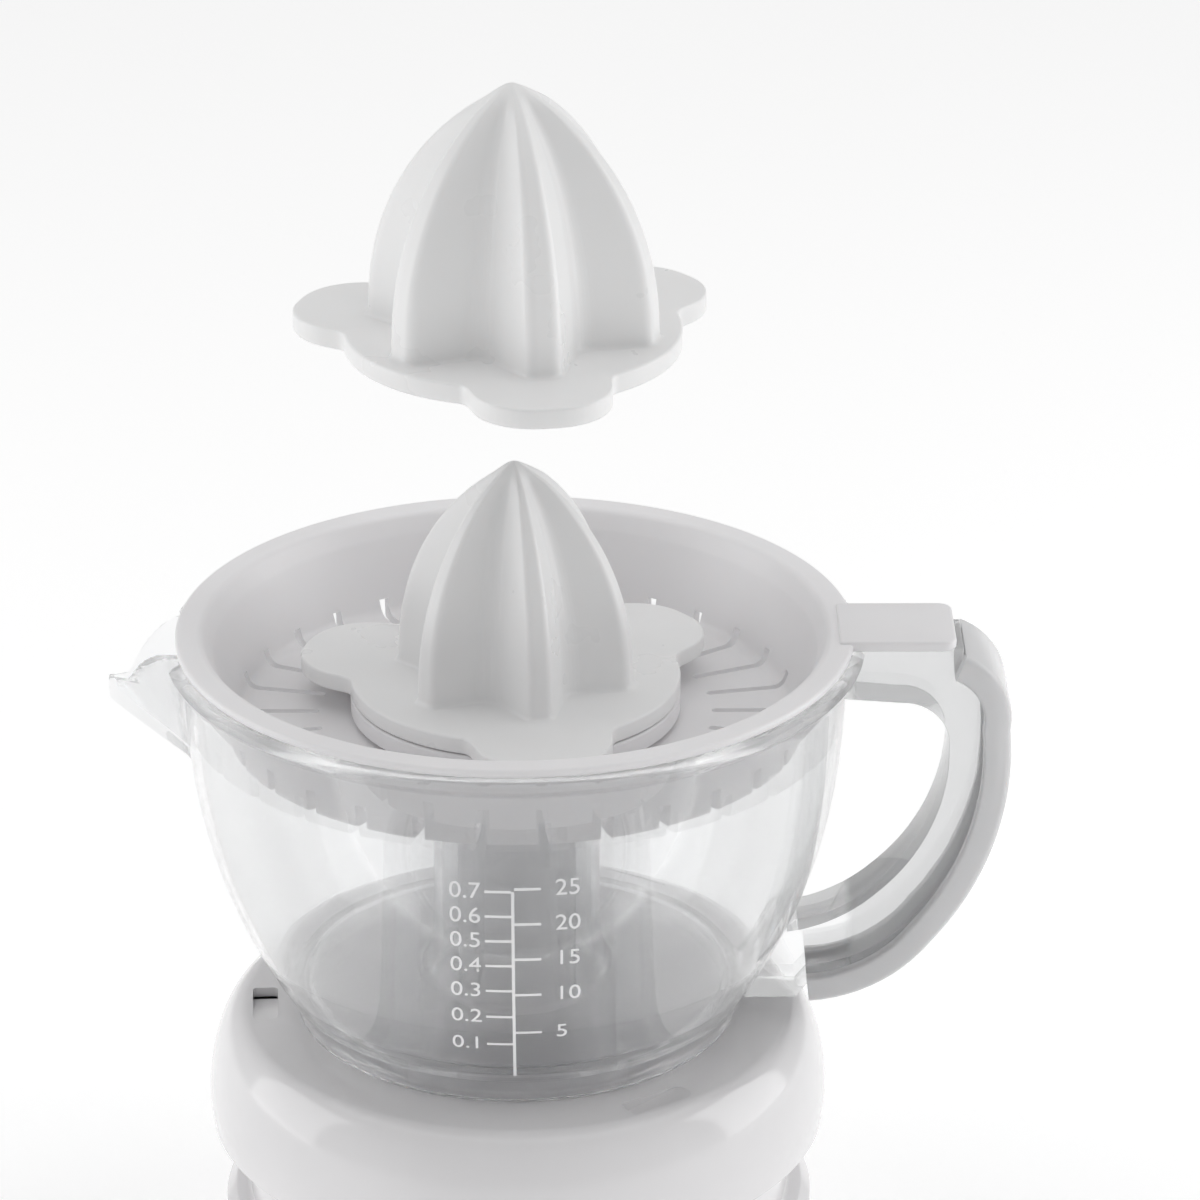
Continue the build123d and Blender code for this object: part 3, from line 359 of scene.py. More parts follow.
housing_white = moulded("housing_white", (0.80, 0.79, 0.80), (0.84, 0.83, 0.84), (0.10, 0.16),
                        coat=0.5, scatter=0.05)
strainer_white = moulded("strainer_white", (0.82, 0.81, 0.82), (0.86, 0.85, 0.86), (0.28, 0.38), scatter=0.15)
cone_white = moulded("cone_white", (0.84, 0.84, 0.84), (0.88, 0.88, 0.88), (0.26, 0.34), scatter=0.15)
jug_clear = clear_plastic()
strap_pale = pale_strap_plastic()
mark_white = moulded("mark_white", (0.86, 0.86, 0.87), (0.9, 0.9, 0.9), (0.4, 0.5))
rubber_dark = moulded("rubber_dark", (0.03, 0.03, 0.032), (0.05, 0.05, 0.055), (0.6, 0.8), grain=1500.0,
                      grain_depth=0.00006)
rubber_pale = moulded("rubber_pale", (0.62, 0.62, 0.63), (0.7, 0.7, 0.71), (0.5, 0.65))
nylon = moulded("gear_nylon", (0.74, 0.71, 0.62), (0.82, 0.8, 0.72), (0.3, 0.42), scatter=0.2)
plastic_grey = moulded("plastic_grey", (0.42, 0.42, 0.43), (0.5, 0.5, 0.51), (0.35, 0.5))
plastic_black = moulded("plastic_black", (0.02, 0.02, 0.02), (0.04, 0.04, 0.04), (0.3, 0.45))
capacitor_film = moulded("capacitor_film", (0.62, 0.5, 0.2), (0.72, 0.62, 0.3), (0.3, 0.4))
steel = metal("steel", (0.62, 0.62, 0.63), (0.22, 0.38))
steel_ground = metal("steel_ground", (0.72, 0.72, 0.73), (0.12, 0.22), (12.0, 12.0, 1.0))
brass = metal("bush_brass", (0.72, 0.55, 0.28), (0.3, 0.45))
copper = metal("coil_copper", (0.65, 0.26, 0.12), (0.25, 0.4), (1.0, 1.0, 40.0))
ferrite = metal("magnet_grey", (0.09, 0.09, 0.095), (0.5, 0.65), (1.0, 1.0, 1.0))


def dress(piece, material, body, slot, *nodes):
    """Gives a finished piece its material and body, and hides the nodes it stands for; slot is not used."""
    piece.data.materials.clear()
    piece.data.materials.append(material)
    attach(piece, body)
    if nodes:
        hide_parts(*nodes)
    return piece


# ---------------------------------------------------------------- cones
ANGLES = 720


def ray_radius(outline, angle):
    """Distance from the axis to a closed outline along an angle in degrees."""
    dx, dy = polar(1.0, angle)
    best = 0.0
    for (x0, y0), (x1, y1) in zip(outline, outline[1:] + outline[:1]):
        ex, ey = x1 - x0, y1 - y0
        det = ex * dy - ey * dx
        if abs(det) < 1e-12:
            continue
        t = (y0 * dx - x0 * dy) / det
        if -1e-9 <= t <= 1 + 1e-9:
            along = (x0 + t * ex) * dx + (y0 + t * ey) * dy
            best = max(best, along)
    return best


def star_radii(tip_r, tip_w, corner, valley):
    """Radii all round of a finned section with rounded fins and hollow valleys."""
    half = 180.0 / FIN_COUNT
    cos_half, sin_half = polar(1.0, half)
    valley_r = (tip_w + FIN_TAPER * tip_r) / (sin_half + FIN_TAPER * cos_half)
    tip_angle = math.degrees(math.atan2(tip_w, tip_r))
    tip_d = math.hypot(tip_r, tip_w)
    points, radii = [], []
    for k in range(FIN_COUNT):
        a = FIN_START + 2 * half * k
        points += [polar(tip_d, a - tip_angle), polar(tip_d, a + tip_angle), polar(valley_r, a + half)]
        radii += [corner, corner, valley]
    outline = rounded(points, radii, steps=8)
    return [ray_radius(outline, 360.0 * k / ANGLES) for k in range(ANGLES)]


def lobed_radii(grow=0.0):
    """Radii all round of the disc with three lobes."""
    lobe = []
    tip_r = disc_lobe_r
    for k in range(3):
        a = LOBE_START + 120.0 * k
        corners = [(0.0, -LOBE_W / 2), (tip_r, -LOBE_W / 2), (tip_r, LOBE_W / 2), (0.0, LOBE_W / 2)]
        c, s = polar(1.0, a)
        turned = [(x * c - y * s, x * s + y * c) for x, y in corners]
        lobe.append(rounded(turned, [0, LOBE_W / 2 - 1.5, LOBE_W / 2 - 1.5, 0], steps=12))
    result = []
    for k in range(ANGLES):
        a = 360.0 * k / ANGLES
        reach = max(ray_radius(outline, a) for outline in lobe)
        result.append(smooth_max(disc_r, reach, 5.0) + grow)
    return result


disc_lobe_r = 52.5


def radial_ring(radii, z):
    """Ring with one radius for each angle."""
    return [(*polar(r, 360.0 * k / ANGLES), z) for k, r in enumerate(radii)]


FIN_DIP = 0.06


def ridge(level):
    """Share of its foot's radius that a cone keeps at a share of its height."""
    return (1 - min(level, 1.0) ** RIDGE_POWER) ** RIDGE_ROUND


def dome_rings(star, height, base_z, low_fins, foot):
    """Rings of a finned dome from its foot fillet to its pointed top."""
    rings = []
    for k in range(5):
        a = math.radians(90.0 * k / 5)
        z = base_z + foot * (1 - math.cos(a))
        rings.append(radial_ring([r + foot * (1 - math.sin(a)) for r in star], z))
    levels = [i / 40 for i in range(3, 36)] + [1 - 0.12 * (1 - i / 14) ** 1.8 for i in range(1, 14)]
    core, tip = min(star), max(star)
    for level in levels:
        blend = 0.85 * smooth_step(0.9, 1.0, level)
        radii = []
        for k, r in enumerate(star):
            lower = sum(smooth_step(28.0, 10.0, abs((360.0 * k / ANGLES - a + 180.0) % 360.0 - 180.0))
                        for a in low_fins)
            dip = lower * (r - core) / (tip - core)
            fin = ridge(level / (1.0 - FIN_DIP * dip))
            soft_r = r + blend * (0.5 * (core + tip) - r)
            radii.append(core * ridge(level) + (soft_r - core) * fin)
        rings.append(radial_ring(radii, base_z + level * height))
    rings.append([(0.0, 0.0, base_z + height)])
    return rings


def edge_rings(radii, low, high, soft):
    """Rings of a disc's rim from its underside to its top, with soft edges."""
    rings = []
    for k in range(5):
        a = math.radians(90.0 * k / 4)
        z = low + soft * (1 - math.cos(a))
        rings.append(radial_ring([r - soft * (1 - math.sin(a)) for r in radii], z))
    for k in range(5):
        a = math.radians(90.0 * k / 4)
        z = high - soft * (1 - math.sin(a))
        rings.append(radial_ring([r - soft * (1 - math.cos(a)) for r in radii], z))
    return rings


def cone_piece(name, low, apex, flange_t, star, cavity, low_fins, soft=0.7, foot=1.6):
    """Reaming cone in one skin: cavity, underside, lobed flange, fillet and finned dome."""
    top = low + flange_t
    flange = lobed_radii()
    rings = cavity + edge_rings(flange, low, top, soft) + dome_rings(star, apex - top, top, low_fins, foot)
    return rings_piece(name, rings, sharp=50.0)


SMALL_FLANGE_T = 4.2
LARGE_FLANGE_T = 4.8
SMALL_TIP = (28.4, 2.6)
LARGE_TIP = (34.2, 3.6)
CONE_WALL = 2.0
SOCKET_R = 7.2
CORE_R = 11.0
HEX_R = 3.55
SMALL_CORE_H = 33.0
SOCKET_H = 13.5
LOW_FINS = (FIN_START + 180.0, FIN_START + 240.0)

# hollow of the small cone: round recess, drive socket in its middle
hexagon = [polar(HEX_R / math.cos(math.radians(30.0)), 60.0 * k) for k in range(6)]
hex_radii = [ray_radius(hexagon, 360.0 * k / ANGLES) for k in range(ANGLES)]
small_cavity = [[(0.0, 0.0, small_z + SOCKET_H)], radial_ring(hex_radii, small_z + SOCKET_H),
                radial_ring(hex_radii, small_z), radial_ring([SOCKET_R] * ANGLES, small_z),
                radial_ring([SOCKET_R] * ANGLES, small_z + SMALL_CORE_H - 4),
                radial_ring([CORE_R - 2.4] * ANGLES, small_z + SMALL_CORE_H - 4),
                radial_ring([CORE_R] * ANGLES, small_z)]
small_star = star_radii(*SMALL_TIP, 0.9 * SMALL_TIP[1], 6.0)
small_cone = cone_piece("reamer_small", small_z, small_apex, SMALL_FLANGE_T, small_star, small_cavity,
                        LOW_FINS)
dress(small_cone, cone_white, "small_cone", "cone_white", "small_cone")

# hollow of the large cone: the same fins one wall further in
inner_star = star_radii(LARGE_TIP[0] - CONE_WALL, LARGE_TIP[1] - 0.8 * CONE_WALL, 1.0, 5.0)
LARGE_HOLLOW_TOP = 0.93
HOLLOW_PEAK = 1.0
HOLLOW_FLARE = 2.0
HOLLOW_STEPS = 16
large_h = large_apex - large_z - LARGE_FLANGE_T
hollow_z = large_z - 0.5
large_cavity = []
for k in range(HOLLOW_STEPS + 1):
    level = LARGE_HOLLOW_TOP * (1 - k / HOLLOW_STEPS)
    flare = HOLLOW_FLARE if k == HOLLOW_STEPS else 0.0
    radii = [ridge(level) * r + flare for r in inner_star]
    large_cavity.append(radial_ring(radii, max(hollow_z + level * large_h, large_z)))
large_cavity.insert(0, [(0.0, 0.0, large_cavity[0][0][2] + HOLLOW_PEAK)])
large_star = star_radii(*LARGE_TIP, 0.9 * LARGE_TIP[1], 6.0)
large_cone = cone_piece("reamer_large", large_z, large_apex, LARGE_FLANGE_T, large_star, large_cavity,
                        LOW_FINS)
dress(large_cone, cone_white, "large_cone", "cone_white", "large_cone")

# ---------------------------------------------------------------- collar
COLLAR_T = 2.2
hub_r = disc_r - 1.9
collar_profile = rounded([(6.0, collar_top - COLLAR_T), (hub_r, collar_top - COLLAR_T), (hub_r, collar_low),
                          (disc_r, collar_low), (disc_r, collar_top), (6.0, collar_top)],
                         [0.2, 0.3, 0.3, 0.4, 0.6, 0.3])
collar = lathe("hub_collar", collar_profile)
dress(collar, strainer_white, "collar", "strainer_white", "cone_collar")

# ---------------------------------------------------------------- strainer
STRAINER_R = 67.4
STRAINER_WALL = 1.9
FLANGE_T = 2.0
FLANGE_R = RIM_BAND_R - 2.4
SLOT_COUNT = 30
SLOT_IN_R = 46.0
SLOT_RISE = 6.0
HUB_R = 36.4
HUB_H = 3.1
TAB_W = 23.0
TAB_T = 2.6
TAB_ROOT = 4.0
flange_z = rim_z + 0.3
strainer_floor = strainer_z + STRAINER_WALL
hub_top = strainer_floor + HUB_H
dish_top_r = JUG_RIM_R - JUG_WALL - 1.3
lip_r = dish_top_r - 3.4
SLOT_HALF = 1.0
SLOT_FOOT_HALF = 1.8


def strainer_profile():
    """Closed section: hub, floor, wall, rolled lip and flange, then back underneath."""
    corners = [(6.0, hub_top, 0.2), (HUB_R, hub_top, 0.5), (HUB_R, strainer_floor, 0.5),
               (SLOT_IN_R, strainer_floor, 0), (STRAINER_R - 3.0, strainer_floor, 3.0),
               (STRAINER_R - 1.2, strainer_floor + SLOT_RISE, 0), (lip_r, flange_z - 2.5, 6.0),
               (lip_r + 2.6, flange_z + FLANGE_T, 2.4), (FLANGE_R, flange_z + FLANGE_T, 0.8),
               (FLANGE_R, flange_z, 0.6), (dish_top_r, flange_z, 0.3), (dish_top_r, flange_z - 2.2, 0.3),
               (dish_top_r - 0.7, flange_z - 2.6, 0.3), (dish_top_r - 0.1, flange_z - 3.6, 0.3),
               (dish_top_r - 0.8, flange_z - 4.6, 0.3),
               (STRAINER_R + 0.4, strainer_z + SLOT_RISE, 0), (STRAINER_R, strainer_z, 1.0),
               (SLOT_IN_R, strainer_z, 0), (HUB_R - STRAINER_WALL, strainer_z, 0.4),
               (HUB_R - STRAINER_WALL, hub_top - STRAINER_WALL, 0.4), (6.0, hub_top - STRAINER_WALL, 0.2)]
    return rounded([c[:2] for c in corners], [c[2] for c in corners])


strainer = lathe("strainer_dish", strainer_profile(), segments=240, sharp=40.0)


def slot_cutter():
    """One slot: narrow along the floor, wider where it turns up the wall."""
    floor_in, floor_out, wall_out = SLOT_IN_R, STRAINER_R - 3.0, STRAINER_R + 3.0
    low, high = strainer_z - 1.0, strainer_floor + SLOT_RISE - 1.0
    outline = [(floor_in, -SLOT_HALF), (floor_out, -SLOT_HALF), (wall_out, -SLOT_FOOT_HALF),
               (wall_out, SLOT_FOOT_HALF), (floor_out, SLOT_HALF), (floor_in, SLOT_HALF)]
    outline = rounded(outline, [0.9, 0, 0, 0, 0, 0.9], steps=4)
    cutter = slab("slot_cutter", outline, low, high - 1.2)
    return cutter


def repeated_round(name, part, count, start=0.0):
    """Geometry Nodes: copies of a part turned about the spindle's axis, made one plain mesh."""
    tree = bpy.data.node_groups.new(name + "_pattern", "GeometryNodeTree")
    tree.interface.new_socket("Geometry", in_out="INPUT", socket_type="NodeSocketGeometry")
    count_in = tree.interface.new_socket("Count", in_out="INPUT", socket_type="NodeSocketInt")
    start_in = tree.interface.new_socket("Start", in_out="INPUT", socket_type="NodeSocketFloat")
    tree.interface.new_socket("Geometry", in_out="OUTPUT", socket_type="NodeSocketGeometry")
    nodes, links = tree.nodes, tree.links
    ins, outs = nodes.new("NodeGroupInput"), nodes.new("NodeGroupOutput")
    line = nodes.new("GeometryNodeMeshLine")
    line.inputs["Offset"].default_value = (0.0, 0.0, 0.0)
    links.new(ins.outputs["Count"], line.inputs["Count"])
    index = nodes.new("GeometryNodeInputIndex")
    share = nodes.new("ShaderNodeMath")
    share.operation = "DIVIDE"
    links.new(index.outputs["Index"], share.inputs[0])
    links.new(ins.outputs["Count"], share.inputs[1])
    turn = nodes.new("ShaderNodeMath")
    turn.operation = "MULTIPLY_ADD"
    turn.inputs[1].default_value = math.tau
    links.new(share.outputs[0], turn.inputs[0])
    links.new(ins.outputs["Start"], turn.inputs[2])
    spin = nodes.new("ShaderNodeCombineXYZ")
    links.new(turn.outputs[0], spin.inputs["Z"])
    copies = nodes.new("GeometryNodeInstanceOnPoints")
    links.new(line.outputs["Mesh"], copies.inputs["Points"])
    links.new(ins.outputs["Geometry"], copies.inputs["Instance"])
    links.new(spin.outputs["Vector"], copies.inputs["Rotation"])
    real = nodes.new("GeometryNodeRealizeInstances")
    links.new(copies.outputs["Instances"], real.inputs["Geometry"])
    links.new(real.outputs["Geometry"], outs.inputs["Geometry"])
    pattern = part.modifiers.new("pattern", "NODES")
    pattern.node_group = tree
    pattern[count_in.identifier] = count
    pattern[start_in.identifier] = math.radians(start)
    apply_modifiers(part)
    part.name = name
    return part


boolean(strainer, repeated_round("strainer_slots", slot_cutter(), SLOT_COUNT), "DIFFERENCE", sharp=40.0)
tab_root_x = FLANGE_R - TAB_ROOT
tab_outline = rounded([(tab_root_x, -TAB_W / 2), (tab_x, -TAB_W / 2), (tab_x, TAB_W / 2),
                       (tab_root_x, TAB_W / 2)], [0, 3.0, 3.0, 0], steps=8)
tab = bevelled(slab("tab", tab_outline, flange_z, flange_z + TAB_T), 0.7)
boolean(strainer, tab, "UNION", sharp=40.0)
dress(strainer, strainer_white, "strainer", "strainer_white", "strainer")


# ---------------------------------------------------------------- jug
def jug_radius(z):
    """Outside radius of the jug's wall."""
    t = min(max((z - jug_floor_z) / (rim_z - RIM_BAND_H - jug_floor_z), 0.0), 1.0)
    return JUG_FLOOR_R + (JUG_RIM_R - JUG_FLOOR_R) * (1 - (1 - t) ** JUG_SWELL)


SPOUT_ROOT_X = JUG_RIM_R - 6.0
SPOUT_TIP_X = -spout_x
SPOUT_TIP_HALF = 2.6
SPOUT_TIP_H = 6.0


def spout_reach(slope, z, inset, rise):
    """How far out the spout's V-shaped wall stands along a column of the jug."""
    best = 0.0
    for k in range(81):
        t = k / 80
        x = SPOUT_ROOT_X + t * (SPOUT_TIP_X - inset - SPOUT_ROOT_X)
        half = (SPOUT_HALF_W - inset) * (1 - t) + (SPOUT_TIP_HALF - 0.5 * inset) * t
        top = rim_z + rise
        bottom = rim_z + 1.6 * inset - SPOUT_ROOT_DROP * (1 - t) - (SPOUT_DROP + SPOUT_TIP_H) * t
        allowed = half * min(max((z - bottom) / (top - bottom), 0.0), 1.0)
        if allowed > 0 and x * slope <= allowed:
            best = x
    return best / math.cos(math.atan(slope)) if best else 0.0


def column_angles():
    """Angles round the jug, close together at the spout."""
    angles = [1.5 * k for k in range(240)]
    fine = [165.0 + 0.3 * k for k in range(101)]
    return sorted([a for a in angles if not 165.0 <= a <= 195.0] + fine)


def rim_drop(angle):
    """How far the rim falls towards the spout's lip on a column."""
    slope = math.tan(math.radians(abs(angle - 180.0)))
    if abs(angle - 180.0) > 13.5:
        return 0.0
    reach = spout_reach(slope, rim_z, 0.0, 0.0) * math.cos(math.atan(slope))
    t = min(max((reach - JUG_RIM_R) / (SPOUT_TIP_X - JUG_RIM_R), 0.0), 1.0)
    return SPOUT_DROP * t ** 2


def jug_column(angle):
    """Closed section of the jug on one column, as (radius, height) points in a fixed order."""
    away = abs(angle - 180.0)
    slope = math.tan(math.radians(away))
    at_spout = away < 13.5
    band = smooth_step(11.6, 12.6, away)
    top = rim_z - rim_drop(angle)
    levels = [k / 30 for k in range(31)]

    def wall(z, inset, rise):
        plain = jug_radius(z) - inset
        if not at_spout:
            return plain
        out = spout_reach(slope, z, inset * 0.75, rise)
        return smooth_max(plain, out, 2.2) if out else plain

    points = [(JUG_FOOT_R - JUG_WALL, jug_z + 0.4), (JUG_FOOT_R - JUG_WALL + 0.5, jug_z),
              (JUG_FOOT_R - 0.5, jug_z), (JUG_FOOT_R, jug_z + 0.5), (JUG_FOOT_R, jug_floor_z - 2.0),
              (JUG_FOOT_R + 0.7, jug_floor_z - 0.9)]
    shoulder = rim_z - RIM_BAND_H
    low_top = min(shoulder, top - 3.0)
    for u in levels:
        z = jug_floor_z + u * (low_top - jug_floor_z)
        points.append((wall(z, 0.0, 0.0), z))
    # rim band, fading out at the spout
    rim_steps = [(0.25, 0.35), (2.2, 1.5), (4.0, 2.9), (4.2, 3.7), (3.5, 4.7), (2.4, 5.3), (1.6, 5.5)]
    for out, up in rim_steps:
        z = low_top + (top - low_top) * up / RIM_BAND_H
        points.append((wall(z, 0.0, 0.0) + band * out, z))
    points.append((wall(top, JUG_WALL * 0.75, 0.0) + 0.5, top))
    points.append((wall(top, JUG_WALL, 0.0), top - 0.4))
    inner_floor = jug_floor_z + JUG_FLOOR_T
    for u in reversed(levels):
        z = inner_floor + 2.0 + u * (top - 1.2 - inner_floor - 2.0)
        points.append((wall(z, JUG_WALL, 0.0), z))
    inside = jug_radius(inner_floor) - JUG_WALL
    points += [(inside - 0.4, inner_floor + 0.7), (inside - 1.6, inner_floor + 0.1),
               (inside - 3.0, inner_floor)]
    # tube with its flared foot
    for k in range(9):
        a = math.radians(90.0 * k / 8)
        points.append((TUBE_FOOT_R - (TUBE_FOOT_R - TUBE_R) * math.sin(a),
                       inner_floor + TUBE_FOOT_H * (1 - math.cos(a))))
    points += [(TUBE_R - 0.05, tube_top - 0.4), (TUBE_R - 0.4, tube_top),
               (TUBE_R - TUBE_WALL + 0.4, tube_top), (TUBE_R - TUBE_WALL, tube_top - 0.4)]
    for k in reversed(range(9)):
        a = math.radians(90.0 * k / 8)
        points.append((TUBE_FOOT_R - TUBE_WALL - (TUBE_FOOT_R - TUBE_R) * math.sin(a),
                       jug_floor_z + TUBE_FOOT_H * (1 - math.cos(a))))
    points += [(JUG_FOOT_R - JUG_WALL - 1.0, jug_floor_z), (JUG_FOOT_R - JUG_WALL, jug_floor_z - 1.0)]
    return points


tube_top = hub_top - STRAINER_WALL - 0.6
columns = [(a, jug_column(a)) for a in column_angles()]
jug_rings = [[(*polar(column[i][0], a), column[i][1]) for a, column in columns]
             for i in range(len(columns[0][1]))]
jug = rings_piece("jug_body", jug_rings, loop=True, sharp=50.0)

# handle: outline from the rim out and back to the foot of the wall, in the XZ plane
HANDLE_T = 14.0
WEB_W = 17.0
STRAP_DEPTH = 6.5
STRAP_SKIN = 3.2
handle_low = jug_floor_z - 3.0


def arc_through(a, b, c, steps=12):
    """Points of the arc through three points, without its first."""
    ax, ay = a
    bx, by = b
    cx, cy = c
    d = 2 * (ax * (by - cy) + bx * (cy - ay) + cx * (ay - by))
    a2, b2, c2 = ax ** 2 + ay ** 2, bx ** 2 + by ** 2, cx ** 2 + cy ** 2
    ux = (a2 * (by - cy) + b2 * (cy - ay) + c2 * (ay - by)) / d
    uy = (a2 * (cx - bx) + b2 * (ax - cx) + c2 * (bx - ax)) / d
    centre = Vector((ux, uy))
    start, end = Vector(a) - centre, Vector(c) - centre
    turn = -start.angle_signed(end)
    return [(centre.x + start.x * math.cos(turn * k / steps) - start.y * math.sin(turn * k / steps),
             centre.y + start.x * math.sin(turn * k / steps) + start.y * math.cos(turn * k / steps))
            for k in range(1, steps + 1)]


def handle_line():
    """Outer line of the handle from the rim to its foot."""
    x, top, low = strap_x, rim_z, handle_low
    line = [(x - 14.0, top)]
    line += arc_through(line[-1], (x - 4.0, top - 5.8), (x, top - 20.0))
    line += arc_through(line[-1], (x - 3.4, top - 50.5), (x - 17.2, low + 16.0), 20)
    line += arc_through(line[-1], (x - 31.0, low + 4.2), (x - 49.0, low))
    return line


def finger_line():
    """Edge of the opening for the fingers, from the jug's wall round to the wall again."""
    x, top, low = strap_x - HANDLE_T, rim_z - 14.0, handle_low + 17.0
    line = [(x - 11.0, top)]
    line += arc_through(line[-1], (x - 3.2, top - 3.2), (x, top - 11.0))
    line += arc_through(line[-1], (x - 3.6, top - 31.5), (x - 16.5, low + 10.5), 20)
    line += arc_through(line[-1], (x - 28.0, low + 3.0), (x - 41.0, low))
    return line


def shifted(line, distance):
    """A line moved to its right by a distance."""
    result = []
    for i, (x, z) in enumerate(line):
        x0, z0 = line[max(i - 1, 0)]
        x1, z1 = line[min(i + 1, len(line) - 1)]
        length = math.hypot(x1 - x0, z1 - z0)
        result.append((x + distance * (z1 - z0) / length, z - distance * (x1 - x0) / length))
    return result


def upright_slab(name, outline, half_width):
    """Flat piece: an outline in the XZ plane, the same width to both sides."""
    work = bmesh.new()
    front = [work.verts.new((x * MM, -half_width * MM, z * MM)) for x, z in outline]
    face = work.faces.new(front)
    grown = bmesh.ops.extrude_face_region(work, geom=[face])
    back = [v for v in grown["geom"] if isinstance(v, bmesh.types.BMVert)]
    bmesh.ops.translate(work, verts=back, vec=(0.0, 2 * half_width * MM, 0.0))
    bmesh.ops.recalc_face_normals(work, faces=work.faces)
    mesh = bpy.data.meshes.new(name)
    work.to_mesh(mesh)
    work.free()
    return finish_mesh(name, mesh)


def clipped(line, start_x, end_x, corner_z):
    """The part of the handle's line that the strap covers."""
    kept = []
    for (x0, z0), (x1, z1) in zip(line, line[1:]):
        for k in range(4):
            x, z = x0 + (x1 - x0) * k / 4, z0 + (z1 - z0) * k / 4
            if (x >= start_x or z < corner_z) and x >= end_x:
                kept.append((x, z))
    return kept


def strap_section():
    """Half a channel's section as (depth, y), mirrored into a closed loop."""
    half_w, web = STRAP_W / 2 - 0.02, WEB_W / 2 + 0.1
    corners = [(0.05, -half_w), (0.05, half_w), (STRAP_DEPTH, half_w), (STRAP_DEPTH, web), (STRAP_SKIN, web),
               (STRAP_SKIN, -web), (STRAP_DEPTH, -web), (STRAP_DEPTH, -half_w)]
    return rounded(corners, [1.6, 1.6, 0.8, 0.6, 0.3, 0.3, 0.6, 0.8], steps=5)


def swept(name, line, section, sharp=35.0):
    """Closed section swept along a line in the XZ plane, capped at both ends."""
    rings = []
    for i, (x, z) in enumerate(line):
        x0, z0 = line[max(i - 1, 0)]
        x1, z1 = line[min(i + 1, len(line) - 1)]
        length = math.hypot(x1 - x0, z1 - z0)
        nx, nz = (z1 - z0) / length, -(x1 - x0) / length
        rings.append([(x + d * nx, y, z + d * nz) for d, y in section])
    piece = rings_piece(name, rings, sharp=sharp)
    count = len(section)
    work = bmesh.new()
    work.from_mesh(piece.data)
    work.verts.ensure_lookup_table()
    total = len(work.verts)
    for start in (0, total - count):
        cap = work.faces.new([work.verts[start + k] for k in range(count)])
        bmesh.ops.triangulate(work, faces=[cap], ngon_method="EAR_CLIP")
    bmesh.ops.recalc_face_normals(work, faces=work.faces)
    work.to_mesh(piece.data)
    work.free()
    for face in piece.data.polygons:
        face.use_smooth = True
    piece.data.set_sharp_from_angle(angle=math.radians(sharp))
    return piece


STRAP_W = 24.0
STRAP_START_H = 30.0
TAB_TO_STRAP = 2.0
strap_start_x = JUG_RIM_R + 25.0 + TAB_TO_STRAP
strap_end_x = JUG_FLOOR_R + 14.0
whole_line = handle_line()
strap_line = clipped(whole_line, strap_start_x, strap_end_x, rim_z - STRAP_START_H)
strap = swept("handle_strap", strap_line, strap_section())
dress(strap, strap_pale, "jug", "strap_pale", "handle_strap")

# the web: under the strap, up to the rim beside the tab, and down to the foot of the wall
WEB_SINK = 1.1
web_under = shifted(strap_line, STRAP_SKIN + 0.1)
top_line = [(JUG_RIM_R - WEB_SINK, rim_z - 0.1), (strap_start_x - 0.3, rim_z - 0.1),
            (strap_start_x - 0.3, web_under[0][1])]
foot_line = [p for p in whole_line if p[0] < strap_end_x - 0.3 and p[1] < rim_z - STRAP_START_H]
foot_x = jug_radius(jug_floor_z) - WEB_SINK
outer_line = top_line + web_under[1:-1] + [(strap_end_x - 0.3, web_under[-1][1])] + foot_line
low_edge = [(foot_x, foot_line[-1][1])] if foot_line and foot_line[-1][0] > foot_x + 0.5 else []
opening = finger_line()
inside_low = opening[-1]
wall_low = [(jug_radius(z) - WEB_SINK, z) for z in (jug_floor_z, inside_low[1] - 2.0)]
back_line = [p for p in reversed(opening) if p[0] > jug_radius(p[1]) - WEB_SINK]
wall_high = [(jug_radius(z) - WEB_SINK, z) for z in (opening[0][1] + 1.0, rim_z - RIM_BAND_H)]
web_outline = outer_line + low_edge + wall_low + back_line + wall_high
web = bevelled(upright_slab("handle_web", web_outline, WEB_W / 2), 3.0, 5, 40.0)
boolean(jug, web, "UNION", sharp=40.0)
dress(jug, jug_clear, "jug", "jug_clear", "jug")

# ---------------------------------------------------------------- measuring scale
MARK_SHARE = 1.04
OUNCE = 28.41
MARK_T = 0.12


def fill_height(millilitres):
    """Height at which the bowl holds a volume."""
    z = jug_floor_z + JUG_FLOOR_T
    volume = 0.0
    step = 0.1
    while volume < millilitres * MARK_SHARE * 1000.0:
        inner = jug_radius(z) - JUG_WALL
        volume += math.pi * (inner ** 2 - TUBE_R ** 2) * step
        z += step
    return z


def wrapped(piece, lift):
    """Bends a flat piece, drawn with x sideways and y up, onto the jug's wall at the front."""
    for vertex in piece.data.vertices:
        x, y, up = (v / MM for v in vertex.co)
        r = jug_radius(y) + lift + up
        px, py = polar(r, -90.0 + math.degrees(x / r))
        vertex.co = (px * MM, py * MM, y * MM)
    piece.data.update()
    return piece


def number_mesh(text, size, x, y, align):
    """Flat number with its middle line at a height."""
    curve = bpy.data.curves.new("number", "FONT")
    curve.body = text
    curve.size = size * MM
    curve.extrude = MARK_T / 2 * MM
    curve.align_x = align
    curve.align_y = "CENTER"
    letters = bpy.data.objects.new("number", curve)
    bpy.context.collection.objects.link(letters)
    depsgraph = bpy.context.evaluated_depsgraph_get()
    mesh = bpy.data.meshes.new_from_object(letters.evaluated_get(depsgraph))
    bpy.data.objects.remove(letters)
    for vertex in mesh.vertices:
        vertex.co.x += x * MM
        vertex.co.y += y * MM
    return mesh


